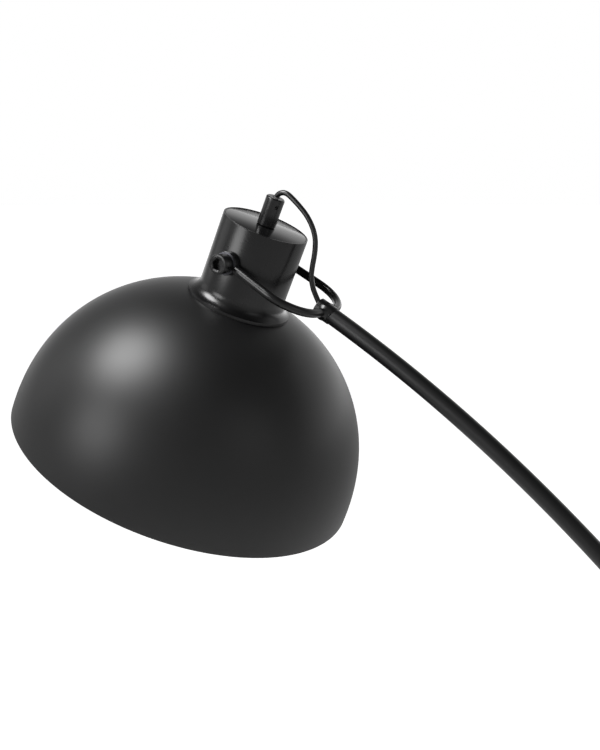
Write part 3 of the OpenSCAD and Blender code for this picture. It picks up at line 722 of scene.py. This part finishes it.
class LAMP_OT_stage(bpy.types.Operator):
    """Add the studio floor, the lights, the surroundings and the camera"""

    bl_idname = "lamp.stage"
    bl_label = "Studio"

    # Name, direction from the pivot, distance and diameter in metres, and power in watts
    softboxes = (
        ("key_softbox", (-0.365, -0.412, 0.834), 1.9, 1.1, 52),
        ("low_softbox", (-0.40, -0.89, 0.25), 2.4, 1.2, 19),
        ("left_softbox", (-0.90, -0.20, 0.36), 2.6, 1.4, 3),
        ("right_softbox", (0.90, -0.22, 0.26), 2.6, 1.4, 2.5),
    )
    # The camera's place from the pivot, the way it looks, and its lens and sensor in millimetres
    camera_offset = Vector((0.5399, -0.8790, 0.0824))
    camera_looks = Vector((-0.4785, 0.8586, -0.1841))
    camera_lens = 52.34
    camera_sensor = 36
    white = (1, 1, 1, 1)

    def execute(self, context):
        self.add_floor(context)
        self.add_surroundings(context)
        for softbox in self.softboxes:
            self.add_softbox(context, *softbox)
        self.add_camera(context)
        context.scene.view_settings.view_transform = "Standard"
        return {"FINISHED"}

    def add_softbox(self, context, name, direction, distance, size, power):
        """A round soft box that faces the pivot."""
        light = bpy.data.lights.new(name, "AREA")
        light.shape = "DISK"
        light.size = size
        light.energy = power
        away = Vector(direction)
        holder = bpy.data.objects.new(name, light)
        holder.location = PIVOT + away.normalized() * distance
        holder.rotation_euler = away.to_track_quat("Z", "Y").to_euler()
        context.scene.collection.objects.link(holder)

    def add_camera(self, context):
        camera = bpy.data.cameras.new("camera")
        camera.sensor_width = self.camera_sensor
        camera.lens = self.camera_lens
        camera.clip_start = 0.02
        holder = bpy.data.objects.new("camera", camera)
        holder.location = PIVOT + self.camera_offset
        holder.rotation_euler = self.camera_looks.to_track_quat("-Z", "Y").to_euler()
        context.scene.collection.objects.link(holder)
        context.scene.camera = holder

    def add_floor(self, context):
        """A pale floor that fades to white away from the lamp, so that it has no far edge."""
        floor_radius = 60
        fade_start = 1.2
        fade_end = 2.4
        bm = bmesh.new()
        bmesh.ops.create_circle(bm, cap_ends=True, segments=64, radius=floor_radius)
        mesh = bpy.data.meshes.new("floor")
        bm.to_mesh(mesh)
        bm.free()
        finish = bpy.data.materials.new("floor")
        finish.use_nodes = True
        tree = finish.node_tree
        shader = tree.nodes["Principled BSDF"]
        shader.inputs["Base Color"].default_value = (*context.scene.lamp_colours.floor, 1)
        shader.inputs["Roughness"].default_value = 0.8
        shader.inputs["Emission Color"].default_value = self.white
        seen = add(tree, "ShaderNodeLightPath").outputs["Is Camera Ray"]
        place = add(tree, "ShaderNodeTexCoord").outputs["Object"]
        reach = add(tree, "ShaderNodeVectorMath", {0: place}, operation="LENGTH")
        fade = add(tree, "ShaderNodeMapRange", {
            "Value": reach.outputs["Value"], "From Min": fade_start, "From Max": fade_end,
            "To Min": 0.12, "To Max": 0.62}, interpolation_type="SMOOTHSTEP")
        lift = add(tree, "ShaderNodeMath", {0: seen, 1: fade.outputs["Result"], 2: 0.3},
                   operation="MULTIPLY_ADD")
        tree.links.new(lift.outputs[0], shader.inputs["Emission Strength"])
        mesh.materials.append(finish)
        floor = bpy.data.objects.new("floor", mesh)
        context.scene.collection.objects.link(floor)

    def add_surroundings(self, context):
        """A white room seen by the camera; the lamp itself sees a bright end and a dim one."""
        world = bpy.data.worlds.new("studio")
        world.use_nodes = True
        context.scene.world = world
        tree = world.node_tree
        tree.nodes.clear()
        place = add(tree, "ShaderNodeTexCoord").outputs["Generated"]
        along = add(tree, "ShaderNodeVectorMath", {0: place, 1: (-0.12, 0.99, 0.0)},
                    operation="DOT_PRODUCT")
        walls = add(tree, "ShaderNodeMapRange", {
            "Value": along.outputs["Value"], "From Min": 0.2, "From Max": 1.0,
            "To Min": 0.48, "To Max": 2.1}, interpolation_type="SMOOTHSTEP")
        height = add(tree, "ShaderNodeSeparateXYZ", {0: place}).outputs["Z"]
        ceiling = add(tree, "ShaderNodeValToRGB", {"Fac": height})
        ramp = ceiling.color_ramp
        ramp.elements[0].color = self.white
        ramp.elements[1].color = (0.03, 0.03, 0.03, 1)
        ramp.elements[1].position = 0.85
        for position, grey in ((0.28, 0.42), (0.46, 0.40), (0.64, 0.20)):
            stop = ramp.elements.new(position)
            stop.color = (grey, grey, grey, 1)
        level = add(tree, "ShaderNodeMath", {
            0: walls.outputs["Result"], 1: ceiling.outputs["Color"]}, operation="MULTIPLY")
        room = add(tree, "ShaderNodeBackground", {
            "Color": self.white, "Strength": level.outputs[0]})
        backdrop = add(tree, "ShaderNodeBackground", {"Color": self.white, "Strength": 1.0})
        seen = add(tree, "ShaderNodeLightPath").outputs["Is Camera Ray"]
        mixed = add(tree, "ShaderNodeMixShader", {
            0: seen, 1: room.outputs[0], 2: backdrop.outputs[0]})
        add(tree, "ShaderNodeOutputWorld", {"Surface": mixed.outputs[0]}, is_active_output=True)


class LAMP_OT_flex(bpy.types.Operator):
    """Lay the flex: the loop at the head, and the lead on the floor with its neat coil"""

    bl_idname = "lamp.flex"
    bl_label = "Flex"

    def execute(self, context):
        flex = context.scene.lamp_stand.flex
        route = [PIVOT + Vector((x * MM, 0, z * MM)) for x, z in LOOP_ROUTE]
        loop = smooth_path(route, flex / 3)
        piece = make_flex("loop_flex", loop, (0, 1, 0), ["flex_loop"], body=None)
        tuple(loop[0])
        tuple(loop[-1])
        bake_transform(piece)
        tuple(loop[0])
        path_length(loop)
        first = smooth_path(LEAD_TO_SWITCH, flex / 2)
        piece = make_flex("lead_first", first, (0, 0, 1), ["lead_to_switch"])
        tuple(first[0])
        path_length(first)
        rest = smooth_path([*LEAD_TO_COIL, *coil_route(flex), *LEAD_TO_PLUG], flex * 1.2)
        piece = make_flex("lead_coiled", rest, (0, 0, 1),
                          ["lead_to_coil", "lead_coil", "lead_to_plug"])
        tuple(rest[0])
        path_length(rest)
        return {"FINISHED"}


class LAMP_OT_shade(bpy.types.Operator):
    """Build the dome shade, its fixing ring, the lampholder's skirt and the bulb"""

    bl_idname = "lamp.shade"
    bl_label = "Shade"

    clearance = 0.4

    def execute(self, context):
        shade = context.scene.lamp_shade
        s = millimetres(shade)
        self.rim_z = -context.scene.lamp_neck.below / MM - s.height
        self.power = 2 / shade.fullness
        hole = s.skirt + self.clearance
        rim = s.diameter / 2
        outer = self.dome(rim, s.height, s.seat)
        inner = self.dome(rim - s.wall, s.height - s.wall, s.seat)
        bead = arc((rim - s.bead / 2, self.rim_z), s.bead / 2, 0, -265, 22)
        clear = self.rim_z + s.bead / 2
        profile = [(hole, outer[0][1]), *outer[:-1], *bead,
                   *[p for p in reversed(inner) if p[1] > clear], (hole, inner[0][1])]
        bm = spun(profile, 192)
        middle = Vector((0, 0, self.rim_z))
        for face in bm.faces:
            centre = face.calc_center_median()
            faces_in = face.normal.dot(centre - middle) < 0
            face.material_index = int(faces_in and centre.z > clear)
        make_piece("shade_dome", bm, HEAD, "head", "black_paint", [lacquer(), inside_paint()],
                   ["shade"])
        self.add_ring(inner[0][1], hole)
        self.add_skirt(inner[0][1], s.skirt)
        self.add_bulb(outer[0][1], s.bulb)
        return {"FINISHED"}

    def dome(self, radius, height, start, count=44):
        """The dome's curve, from a radius near the crown to the rim."""
        first = math.asin((start / radius) ** (1 / self.power))
        angles = [first + (TAU / 4 - first) * i / count for i in range(count + 1)]
        return [(radius * math.sin(a) ** self.power,
                 self.rim_z + height * max(0, math.cos(a)) ** self.power) for a in angles]

    def add_ring(self, seat, hole):
        """The threaded ring that holds the shade against the neck, recessed from below."""
        edge = 28
        recess = 24.5
        low = seat - 7
        web = seat - 6
        ring = rounded([(hole, seat), (edge, seat, 0.5), (edge, low, 1.6), (recess, low, 0.5),
                        (recess - 1, web, 0.5), (hole, web)])
        make_piece("holder_ring", spun(ring), HEAD, "head", "white_plastic", [white_plastic()],
                   ["shade_ring"])

    def add_skirt(self, seat, radius):
        """The lampholder's skirt, a little narrower below its thread."""
        bore = 17.4
        narrow = radius - 0.5
        high = seat + 1
        low = seat - 24
        skirt = rounded([(bore, high), (radius, high), (radius, low + 7, 0.3),
                         (narrow, low + 6.5, 0.3), (narrow, low, 0.7), (bore, low, 0.7),
                         (bore, high)])
        make_piece("holder_skirt", spun(skirt[:-1]), HEAD, "head", "white_plastic",
                   [white_plastic()])

    def add_bulb(self, crown, radius):
        """A glass globe that narrows smoothly and ends in the bulb's cap."""
        top_above_crown = 5.5
        top_to_middle = 80
        middle_to_end = 55.5
        end_radius = 12.7
        middle = crown + top_above_crown - top_to_middle
        globe = arc((0, middle), radius, -90, 52, 36)
        joint_radius, joint_z = globe[-1]
        shoulder = [(joint_radius, 0, joint_z), (14.6, 0, joint_z + 6), (13.0, 0, joint_z + 15),
                    (end_radius, 0, middle + middle_to_end)]
        curve = [(p.x, p.z) for p in smooth_path(shoulder, 2)]
        profile = [*globe, *curve[1:], (0, middle + middle_to_end)]
        make_piece("bulb_glass", spun(profile, 72, closed=False), HEAD, "head", "opal_glass",
                   [opal()], ["bulb_globe"])


class LAMP_OT_neck(bpy.types.Operator):
    """Build the neck cup, its lid and the cord grip with its set screw"""

    bl_idname = "lamp.neck"
    bl_label = "Neck"

    lip = 1.5
    lid_drop = 0.2
    lid_thickness = 2

    def execute(self, context):
        s = millimetres(context.scene.lamp_neck)
        shade = context.scene.lamp_shade
        lid_low = s.above - self.lid_drop - self.lid_thickness
        self.add_cup(s, millimetres(shade), shade.fullness, lid_low)
        lid_top = s.above - self.lid_drop
        edge = s.diameter / 2 - self.lip - 0.3
        lid = [(0, lid_low), (edge, lid_low), (edge, lid_top - 0.3), (edge - 0.1, lid_top - 0.1),
               (edge - 0.3, lid_top), (0, lid_top)]
        make_piece("neck_top", spun(lid, 144, closed=False), HEAD, "head", "black_paint",
                   [lid_lacquer()], ["neck_lid"])
        self.add_grip(s, lid_top, context.scene.lamp_stand.flex / MM)
        return {"FINISHED"}

    def add_cup(self, s, dome, fullness, lid_low):
        """The cup: a foot that fits the dome, a hollow curve, the wall and a lip for the lid."""
        hole = 21
        floor_z = 2 - s.below
        outer = s.diameter / 2
        inner = outer - s.wall
        lip = outer - self.lip
        foot = outer + s.foot_spread
        rim_z = -s.below - dome.height

        def dome_z(r):
            share = (2 * r / dome.diameter) ** fullness
            return rim_z + dome.height * (1 - share) ** (1 / fullness)

        foot_top = dome_z(foot) + s.foot_edge
        end = 180 + math.degrees(math.acos(1 - s.foot_spread / s.foot_fillet))
        curve_z = foot_top - s.foot_fillet * math.sin(math.radians(end))
        curve = arc((outer + s.foot_fillet, curve_z), s.foot_fillet, end, 180, 14)
        under = [(r, dome_z(r)) for r in (dome.seat, 34, 38, 42, 46)]
        profile = [(hole, dome_z(dome.seat)), *under, (foot - 0.3, dome_z(foot)),
                   (foot, dome_z(foot) + 0.3), *curve, (outer, s.above - 0.35),
                   (outer - 0.15, s.above - 0.1), (outer - 0.45, s.above),
                   (lip + 0.2, s.above), (lip, s.above - 0.2), (lip, lid_low),
                   (inner, lid_low), (inner, floor_z), (hole, floor_z)]
        make_piece("neck_shell", spun(profile, 144), HEAD, "head", "black_paint",
                   [smooth_lacquer()], ["neck_cup"])

    def add_grip(self, s, low, flex):
        """The cord grip, turned from bar, with a set screw in its side."""
        r = s.grip_diameter / 2
        top = low + s.grip_height
        bore = flex / 2 + 0.05
        screw_z = low + 21
        wall = [(r, screw_z + k) for k in range(-3, 4)]
        profile = rounded([(bore, low), (r - 1, low, 0.2), (r, low + 1, 0.2), *wall,
                           (r, top - 1, 0.35), (r - 1, top, 0.35), (bore + 1.2, top, 0.15),
                           (bore, top - 1.2)])
        bm = spun(profile)
        bored(bm, angle=-40, z=screw_z, radius=2, depth=1.4, wall=r, flats=2)
        make_piece("grip_barrel", bm, HEAD, "head", "black_grip", [blackened()],
                   ["cord_grip", "grip_set_screw"])


class LAMP_OT_pivot(bpy.types.Operator):
    """Build the two socket screws that carry the head, with their washers and spacers"""

    bl_idname = "lamp.pivot"
    bl_label = "Pivot"

    # How far the screws reach in past the eyes, and the room under their heads for a washer
    reach_in = 4.4
    washer_room = 1.1
    head_height = 12
    socket_depth = 6

    def execute(self, context):
        s = millimetres(context.scene.lamp_yoke)
        self.eye_in = context.scene.lamp_neck.diameter / 2 / MM + EYE_GAP
        for name, build, slot, finish, node in (
            ("pivot_socket_screws", self.screw, "black_screw", blackened(), "pivot_screws"),
            ("pivot_split_washers", self.washer, "steel", dark_steel(), "pivot_spring_washers"),
            ("pivot_shims", self.spacer, "black_paint", blackened(), "pivot_spacers"),
        ):
            bm = both_sides(lambda: moved(build(s), Z_TO_Y))
            make_piece(name, bm, HEAD, "head", slot, [finish], [node])
        return {"FINISHED"}

    def screw(self, s):
        """A socket cap screw, from its end in the neck to its head outside the washer."""
        shank = s.screw / 2
        head = s.screw * 0.75
        flats = s.screw / 1.2
        end = self.eye_in - self.reach_in
        low = self.eye_in + s.eye_wall + self.washer_room
        top = low + self.head_height
        sections = [
            (circle(shank), end), (circle(shank), low), (circle(head - 0.4), low),
            (circle(head), low + 0.4), (circle(head), top - 0.9), (circle(head - 0.25), top - 0.3),
            (circle(head - 0.9), top), (circle(flats * 0.62), top),
            (hexagon(flats), top - 0.5), (hexagon(flats), top - self.socket_depth)]
        return stacked(sections)

    def washer(self, s):
        """A split spring washer, flattened under the screw's head."""
        bore = s.screw / 2 + 0.3
        edge = 10.5
        low = self.eye_in + s.eye_wall + 0.3
        high = low + 0.8
        outline = rounded([(bore, low), (edge, low, 0.15), (edge, high, 0.15), (bore, high)])
        return spun(outline, 90, turn=math.radians(352))

    def spacer(self, s):
        """A thin disc between the neck and the eye."""
        bore = s.screw / 2 + 0.1
        edge = 9.84
        low = self.eye_in - 2.5
        high = self.eye_in - 0.3
        return spun([(bore, low), (edge, low), (edge, high - 0.15), (edge - 0.15, high),
                     (bore, high)], 72)


class LAMP_OT_yoke(bpy.types.Operator):
    """Build the bent rod yoke with its welded eyes, and the hub that grips the arm"""

    bl_idname = "lamp.yoke"
    bl_label = "Yoke"

    splay = math.radians(5)
    hub_wall = 0.75
    # How much the weld at the hub widens the rod, and how far up the rod it reaches
    weld = 1.0
    weld_reach = 1.5

    def execute(self, context):
        s = millimetres(context.scene.lamp_yoke)
        self.eye_in = context.scene.lamp_neck.diameter / 2 / MM + EYE_GAP
        self.tube = context.scene.lamp_stand.tube / MM / 2
        self.hub_r = self.tube + self.hub_wall
        for side, mirror in (("far", Matrix.Identity(4)), ("near", MIRROR_Y)):
            bm = moved(joined(self.rod(s), self.eye(s)), mirror)
            make_piece("yoke_arm_" + side, bm, YOKE, "stand", "black_paint", [smooth_lacquer()],
                       ["yoke_branch_" + side])
        make_piece("yoke_collar", moved(self.hub(s), Z_TO_X), YOKE, "stand", "black_paint",
                   [smooth_lacquer()], ["yoke_hub", "hub_set_screw"])
        return {"FINISHED"}

    def hub(self, s):
        """The hub round the arm's end, with a bore for the flex and a set screw on top."""
        start = s.reach - 10
        end = s.reach + 7
        bore = self.tube - 1.2
        screw_z = start + 7.5
        wall = [(self.hub_r, screw_z + k) for k in range(-3, 4)]
        profile = rounded([(bore, end), (bore, start + 1.2), (bore + 1.1, start, 0.25),
                           (self.hub_r, start, 0.45), *wall, (self.hub_r, end, 0.3), (bore, end)])
        bm = spun(profile[:-1])
        bored(bm, angle=180, z=screw_z, radius=2, depth=0.9, wall=self.hub_r, flats=2)
        return bm

    def rod(self, s):
        """From inside the eye, round the corner and into the side of the hub."""
        rod_start = 7
        middle_y = 14
        sin = math.sin(self.splay)
        cos = math.cos(self.splay)
        end_length = (middle_y + s.corner * sin) / cos
        middle_x = s.reach - s.corner * cos - end_length * sin
        turn = arc((middle_x, middle_y), s.corner, 95, 5, 24)
        back = (turn[0][0] - rod_start) / cos
        start = (turn[0][0] - back * cos, turn[0][1] - back * sin)
        flat = [start, *turn]
        last = Vector(turn[-1])
        for above_hub in (3, self.weld_reach, 0.9, 0.4, 0, -1.2):
            y = self.hub_r + above_hub
            flat.append(tuple(last + Vector((sin, -cos)) * (last.y - y) / cos))
        path = [Vector((x, y, 0)) for x, y in flat]

        def radius(point):
            """The rod's radius, wider in the weld."""
            if point.x <= middle_x or point.y >= self.hub_r + self.weld_reach:
                return s.rod / 2
            share = 1 - (point.y - self.hub_r) / self.weld_reach
            return s.rod / 2 + self.weld * max(0, share) ** 2

        return swept(path_frames(path, Vector((0, 0, 1))), [radius(point) for point in path], 32)

    def eye(self, s):
        """The flat eye that the rod is welded to."""
        low = self.eye_in
        high = low + s.eye_wall
        edge = s.eye / 2
        bore = s.screw / 2 + 0.4
        profile = rounded([(bore, low), (edge, low, 0.5), (edge, high, 0.5), (bore, high)])
        return moved(spun(profile, 80), Z_TO_Y)


class LAMP_OT_stand(bpy.types.Operator):
    """Build the arm's two curved tubes, the pole, its collar, the base and the cord gland"""

    bl_idname = "lamp.stand"
    bl_label = "Stand"

    # The base's height, its cover's lower edge and the pole's place along X, in millimetres
    base_height = 30
    cover_low = 3
    pole_x = 100
    # In degrees along the arm: its end, its joint and half of the joint's gap
    sweep = 60
    joint = 28.8
    half_gap = 0.008

    def execute(self, context):
        s = millimetres(context.scene.lamp_stand)
        sides = context.scene.lamp_stand.tube_sides
        at_pole = Matrix.Translation((self.pole_x * MM, 0, 0))
        self.add_arm(s, sides)
        self.add_pole(s, sides, at_pole)
        self.add_base(s)
        self.add_gland(s.base / 2, s.flex)
        return {"FINISHED"}

    def add_arm(self, s, sides):
        """The two tubes of the arm, bent to one arc that ends upright on the pole."""
        centre = (self.pole_x * MM - s.arc * MM, 0, (s.pole + self.base_height) * MM)
        place = Matrix.Translation(centre) @ Y_TO_Z
        ring = arc((s.arc, 0), s.tube / 2, 0, 360, sides)[:-1]
        for name, start, end, node in (
            ("arm_tube_low", 0, self.joint - self.half_gap, "arm_lower_tube"),
            ("arm_tube_high", self.joint + self.half_gap, self.sweep, "arm_upper_tube"),
        ):
            turn = Matrix.Rotation(math.radians(start), 4, "Z")
            bm = moved(spun(ring, 150, turn=math.radians(end - start)), turn)
            make_piece(name, bm, place, "stand", "black_paint", [tube_lacquer()], [node])

    def add_pole(self, s, sides, place):
        """The straight pole, and the collar that covers its foot."""
        r = s.tube / 2
        low = self.base_height
        high = s.pole + low
        pole = [(0, low), (r, low), (r, high - 0.4), (r - 0.2, high - 0.2), (0, high - 0.2)]
        make_piece("pole_straight", spun(pole, sides, closed=False), place, "stand",
                   "black_paint", [tube_lacquer()], ["pole_tube"])
        edge = 19
        collar_top = low + 5
        collar = rounded([(r + 0.05, low), (edge, low, 0.2), (edge, collar_top, 1.4),
                          (r + 0.8, collar_top, 0.2), (r + 0.05, low + 4.2)])
        make_piece("pole_flange", spun(collar), place, "stand", "black_paint", [tube_lacquer()],
                   ["pole_collar"])

    def add_base(self, s):
        """The pressed cover over the weight, and the foam pad that the lamp stands on."""
        wall = 1.5
        pad_gap = 6.5
        edge = s.base / 2
        inner = edge - wall
        high = self.base_height
        low = self.cover_low
        cover = rounded([(0, high), (edge, high, s.base_edge), (edge, low, 0.3), (inner, low),
                         (inner, high - wall), (0, high - wall)], 9)
        make_piece("base_shell", spun(cover, 192, closed=False), Matrix.Identity(4), "stand",
                   "black_paint", [lacquer()], ["base_cover"])
        pad_edge = inner - pad_gap
        pad = rounded([(0, 0), (pad_edge, 0, 0.6), (pad_edge, low, 0.3), (0, low)])
        make_piece("base_foam", spun(pad, 144, closed=False), Matrix.Identity(4), "stand", "pad",
                   [foam()], ["base_pad"])

    def add_gland(self, start, flex):
        """A ribbed strain relief that tapers to the flex."""
        height = 7.5
        bore = flex / 2 + 0.1
        flange = 6.5
        thick = 5.6
        thin = flex / 2 + 0.9
        tip = 28
        pitch = 3.7
        outline = [(bore, -2), (flange, -2), (flange, 2.4, 0.6), (thick, 3)]
        for rib in range(6):
            at = 4 + rib * pitch
            wide = thick + (thin - thick) * (at - 3) / (tip - 3)
            outline += [(wide, at, 0.3), (wide - 0.8, at + 0.5, 0.2),
                        (wide - 0.9, at + 1.4, 0.2), (wide - 0.3, at + 1.9, 0.3)]
        outline += [(thin, tip - 0.5, 0.3), (thin - 0.3, tip), (bore, tip)]
        place = Matrix.Translation((start * MM, 0, height * MM)) @ Z_TO_X
        make_piece("gland_ribbed", spun(rounded(outline), 48), place, "stand", "black_plastic",
                   [plastic()], ["base_gland"])


class LAMP_OT_switch(bpy.types.Operator):
    """Build the foot switch in the lead: its two halves, the button and the button's spring"""

    bl_idname = "lamp.switch"
    bl_label = "Foot switch"

    width = 30
    depth = 66
    corner = 8
    wall = 2
    # Heights of the joint between the halves and of the top
    split = 9
    top = 20
    button = 10
    travel = 2.5

    def execute(self, context):
        place = Matrix.Translation(SWITCH_CENTRE)
        for name, bm, body, node in (
            ("switch_lower", self.lower_half(), "stand", "switch_base"),
            ("switch_upper", self.upper_half(), "stand", "switch_cover"),
            ("switch_cap", self.cap(), "foot_button", "switch_button"),
        ):
            make_piece(name, bm, place, body, "black_plastic", [plastic()], [node])
        self.add_spring(place, self.split + 1.1, self.top + 0.9)
        return {"FINISHED"}

    def outline(self, inset):
        """The case's outline, drawn in by an inset."""
        return rounded_box(self.width - 2 * inset, self.depth - 2 * inset,
                           self.corner - min(inset, 6))

    def lower_half(self):
        """A shell with a rim to stand on, a sole that closes it and a bushing at each end."""
        outline = self.outline
        high = self.split - 0.1
        shell = [(outline(3), 0), (outline(1.0), 0), (outline(0.3), 0.4), (outline(0), 1.2),
                 (outline(0), self.split - 0.5), (outline(0.4), high), (outline(self.wall), high),
                 (outline(self.wall), 2), (outline(3), 2), (outline(3), 0)]
        sole = stacked([(outline(2.9), 0.1), (outline(2.9), 1.8)], 120)
        return joined(merged(stacked(shell, 120, False)), self.bushing(self.depth),
                      self.bushing(-self.depth), sole)

    def bushing(self, depth):
        """A short collar where the flex enters, on either end."""
        bore = 2.6
        edge = 4.2
        ring = rounded([(bore, -3), (edge, -3), (edge, 2.6, 0.5), (2.9, 2.6, 0.3), (bore, 2.2)])
        # Y_TO_Z turns Z to -Y, so either collar faces outwards
        facing = Z_TO_Y if depth > 0 else Y_TO_Z
        return moved(spun(ring, 40), Matrix.Translation((0, depth / 2, 6)) @ facing)

    def upper_half(self):
        """A shell with round shoulders and a shallow recess round the button's hole."""
        outline = self.outline
        low = self.split + 0.1
        top = self.top
        ceiling = top - self.wall
        hole = self.button + 0.6
        shell = [(outline(self.wall), low), (outline(0.4), low), (outline(0), self.split + 0.5),
                 (outline(0), top - 3.2), (outline(0.5), top - 1.6), (outline(1.6), top - 0.5),
                 (outline(3.2), top), (circle(self.button + 2.6), top),
                 (circle(self.button + 2.2), top - 0.5), (circle(self.button + 1.2), top - 0.5),
                 (circle(hole), top - 0.8), (circle(hole), ceiling),
                 (outline(self.wall), ceiling), (outline(self.wall), low)]
        return merged(stacked(shell, 120, False))

    def cap(self):
        """The button: a hollow cap with a dished top, and a flange that holds it in the case."""
        well = 6.5
        flange = 12
        roof = self.top + 1
        low = self.top - 3.8
        flange_top = self.top - 2.3
        crown = self.top + 3
        edge = self.button
        profile = rounded([(0, roof), (well, roof), (well, low), (flange, low),
                           (flange, flange_top), (edge, flange_top), (edge, crown - 0.2, 1.4),
                           (edge - 2.4, crown, 0.4), (edge - 3.2, crown - 0.5, 0.5),
                           (0, crown - 0.7)])
        return spun(profile, 72, closed=False)

    def add_spring(self, place, low, high):
        """The button's return spring, a coil of wire drawn at one length."""
        wire = 0.45
        radius = 4.5
        per_turn = 20
        steps = 5 * per_turn
        path = []
        for i in range(steps + 1):
            a = TAU * i / per_turn
            z = low + wire + (high - low - 2 * wire) * i / steps
            path.append(Vector((radius * math.cos(a), radius * math.sin(a), z)))
        bm = swept(path_frames(path, Vector((0, 0, 1))), [wire] * len(path), 8)
        piece = make_piece("button_spring", bm, place, "stand", "steel", [plated()],
                           ["switch_spring"])
        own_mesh(piece)


class LAMP_OT_plug(bpy.types.Operator):
    """Build the mains plug with its pins, and the tie round the coiled lead"""

    bl_idname = "lamp.plug"
    bl_label = "Plug and tie"

    def execute(self, context):
        place = Matrix.Translation(PLUG_FACE) @ Z_TO_Y
        self.add_body(place, context.scene.lamp_stand.flex / MM)
        self.add_pins(place)
        self.add_tie()
        return {"FINISHED"}

    def add_body(self, place, flex):
        """The moulded body, narrower towards the flex, with a ribbed sleeve round it."""
        sections = [
            (33, 11, 4, 0), (35, 13, 5, 0.3), (36, 14, 5.5, 1.5), (36, 14, 5.5, 14),
            (32, 13, 5.5, 19), (30, 12.6, 5.5, 25), (30, 12.6, 5.5, 31), (26, 12, 5.4, 34),
            (12, 10, 4.9, 36.5)]
        body = [(rounded_box(width, height, corner), z) for width, height, corner, z in sections]
        for rib in range(4):
            wide = 4.8 - 0.35 * rib
            at = 38 + rib * 3
            body += [(circle(wide), at), (circle(wide), at + 0.8), (circle(wide - 0.8), at + 1.2),
                     (circle(wide - 0.9), at + 2.4)]
        end = 50
        bore = circle(flex / 2 + 0.1)
        body += [(circle(flex / 2 + 0.9), end), (bore, end), (bore, end - 6)]
        make_piece("plug_shell", stacked(body), place, "stand", "black_plastic", [plastic()],
                   ["plug_body"])

    def add_pins(self, place):
        """Two round pins, sleeved in plastic next to the body and bare at their ends."""
        sleeve = 2
        bare = 1.85
        sleeve_end = -10
        tip = -18.9
        from_middle = 9.3
        pin = rounded([(0, 0.5), (sleeve, 0.5), (sleeve, sleeve_end, 0.2),
                       (bare, sleeve_end - 0.2, 0.1), (bare, tip, 0.9), (0, tip)])
        bm = joined(*[moved(spun(pin, 32, closed=False), Matrix.Translation((x, 0, 0)))
                      for x in (-from_middle, from_middle)])
        for face in bm.faces:
            face.material_index = int(face.calc_center_median().z > sleeve_end - 0.1)
        make_piece("plug_prongs", bm, place, "stand", "nickel", [plated(), plastic()],
                   ["plug_pins"])

    def add_tie(self):
        """A woven band round the coil."""
        inner = rounded_box(15, 15, 3)
        outer = rounded_box(17, 17, 4)
        half = 4
        band = [(inner, -half), (inner, half), (outer, half), (outer, -half), (inner, -half)]
        place = Matrix.Translation(COIL_CENTRE + Vector((0, -COIL_RADIUS, 0))) @ Z_TO_X
        make_piece("tie_band", merged(stacked(band, 64, False)), place, "stand", "tie",
                   [tie_web()], ["coil_tie"])


class LAMP_OT_inner_parts(bpy.types.Operator):
    """Give the parts inside the lamp their metals and plastics"""

    bl_idname = "lamp.inner_parts"
    bl_label = "Inner parts"

    def execute(self, context):
        dress(["arm_spigot", "arm_joint_sleeve", "pole_joint_sleeve", "pole_foot", "base_nut",
               "base_washer", "pivot_weld_nuts", "grip_tooth_washer", "grip_nut",
               "switch_screws", "holder_screw_shell", "bulb_cap"], plated())
        dress(["grip_nipple", "bulb_contact", "holder_contact"], brass())
        dress(["base_weight"], cast_iron())
        dress(["holder_cap", "holder_body"], white_plastic())
        dress(["switch_module"], plastic())
        dress(["flex_in_arm", "flex_in_neck"], sheath())
        return {"FINISHED"}


class LAMP_PT_lamp(bpy.types.Panel):
    """Sizes and colours of the lamp, and the buttons that build it"""

    bl_label = "Arc floor lamp"
    bl_idname = "LAMP_PT_lamp"
    bl_space_type = "VIEW_3D"
    bl_region_type = "UI"
    bl_category = "Arc lamp"

    def draw(self, context):
        for scene_name, group in PROPERTY_GROUPS.items():
            box = self.layout.box()
            box.label(text=group.__name__)
            for name in group.__annotations__:
                box.prop(getattr(context.scene, scene_name), name)
        for operator in OPERATORS:
            self.layout.operator(operator.bl_idname)


OPERATORS = (LAMP_OT_stage, LAMP_OT_shade, LAMP_OT_neck, LAMP_OT_pivot, LAMP_OT_yoke,
             LAMP_OT_stand, LAMP_OT_switch, LAMP_OT_plug, LAMP_OT_flex, LAMP_OT_inner_parts)


def register():
    for cls in (*PROPERTY_GROUPS.values(), *OPERATORS, LAMP_PT_lamp):
        bpy.utils.register_class(cls)
    for name, group in PROPERTY_GROUPS.items():
        setattr(bpy.types.Scene, name, PointerProperty(type=group))


def unregister():
    for name in PROPERTY_GROUPS:
        delattr(bpy.types.Scene, name)
    for cls in reversed((*PROPERTY_GROUPS.values(), *OPERATORS, LAMP_PT_lamp)):
        bpy.utils.unregister_class(cls)


def main():
    register()
    bpy.ops.lamp.stage()
    bpy.ops.lamp.shade()
    bpy.ops.lamp.neck()
    bpy.ops.lamp.pivot()
    bpy.ops.lamp.yoke()
    bpy.ops.lamp.stand()
    bpy.ops.lamp.switch()
    bpy.ops.lamp.plug()
    bpy.ops.lamp.flex()
    bpy.ops.lamp.inner_parts()


if __name__ == "__main__":
    main()
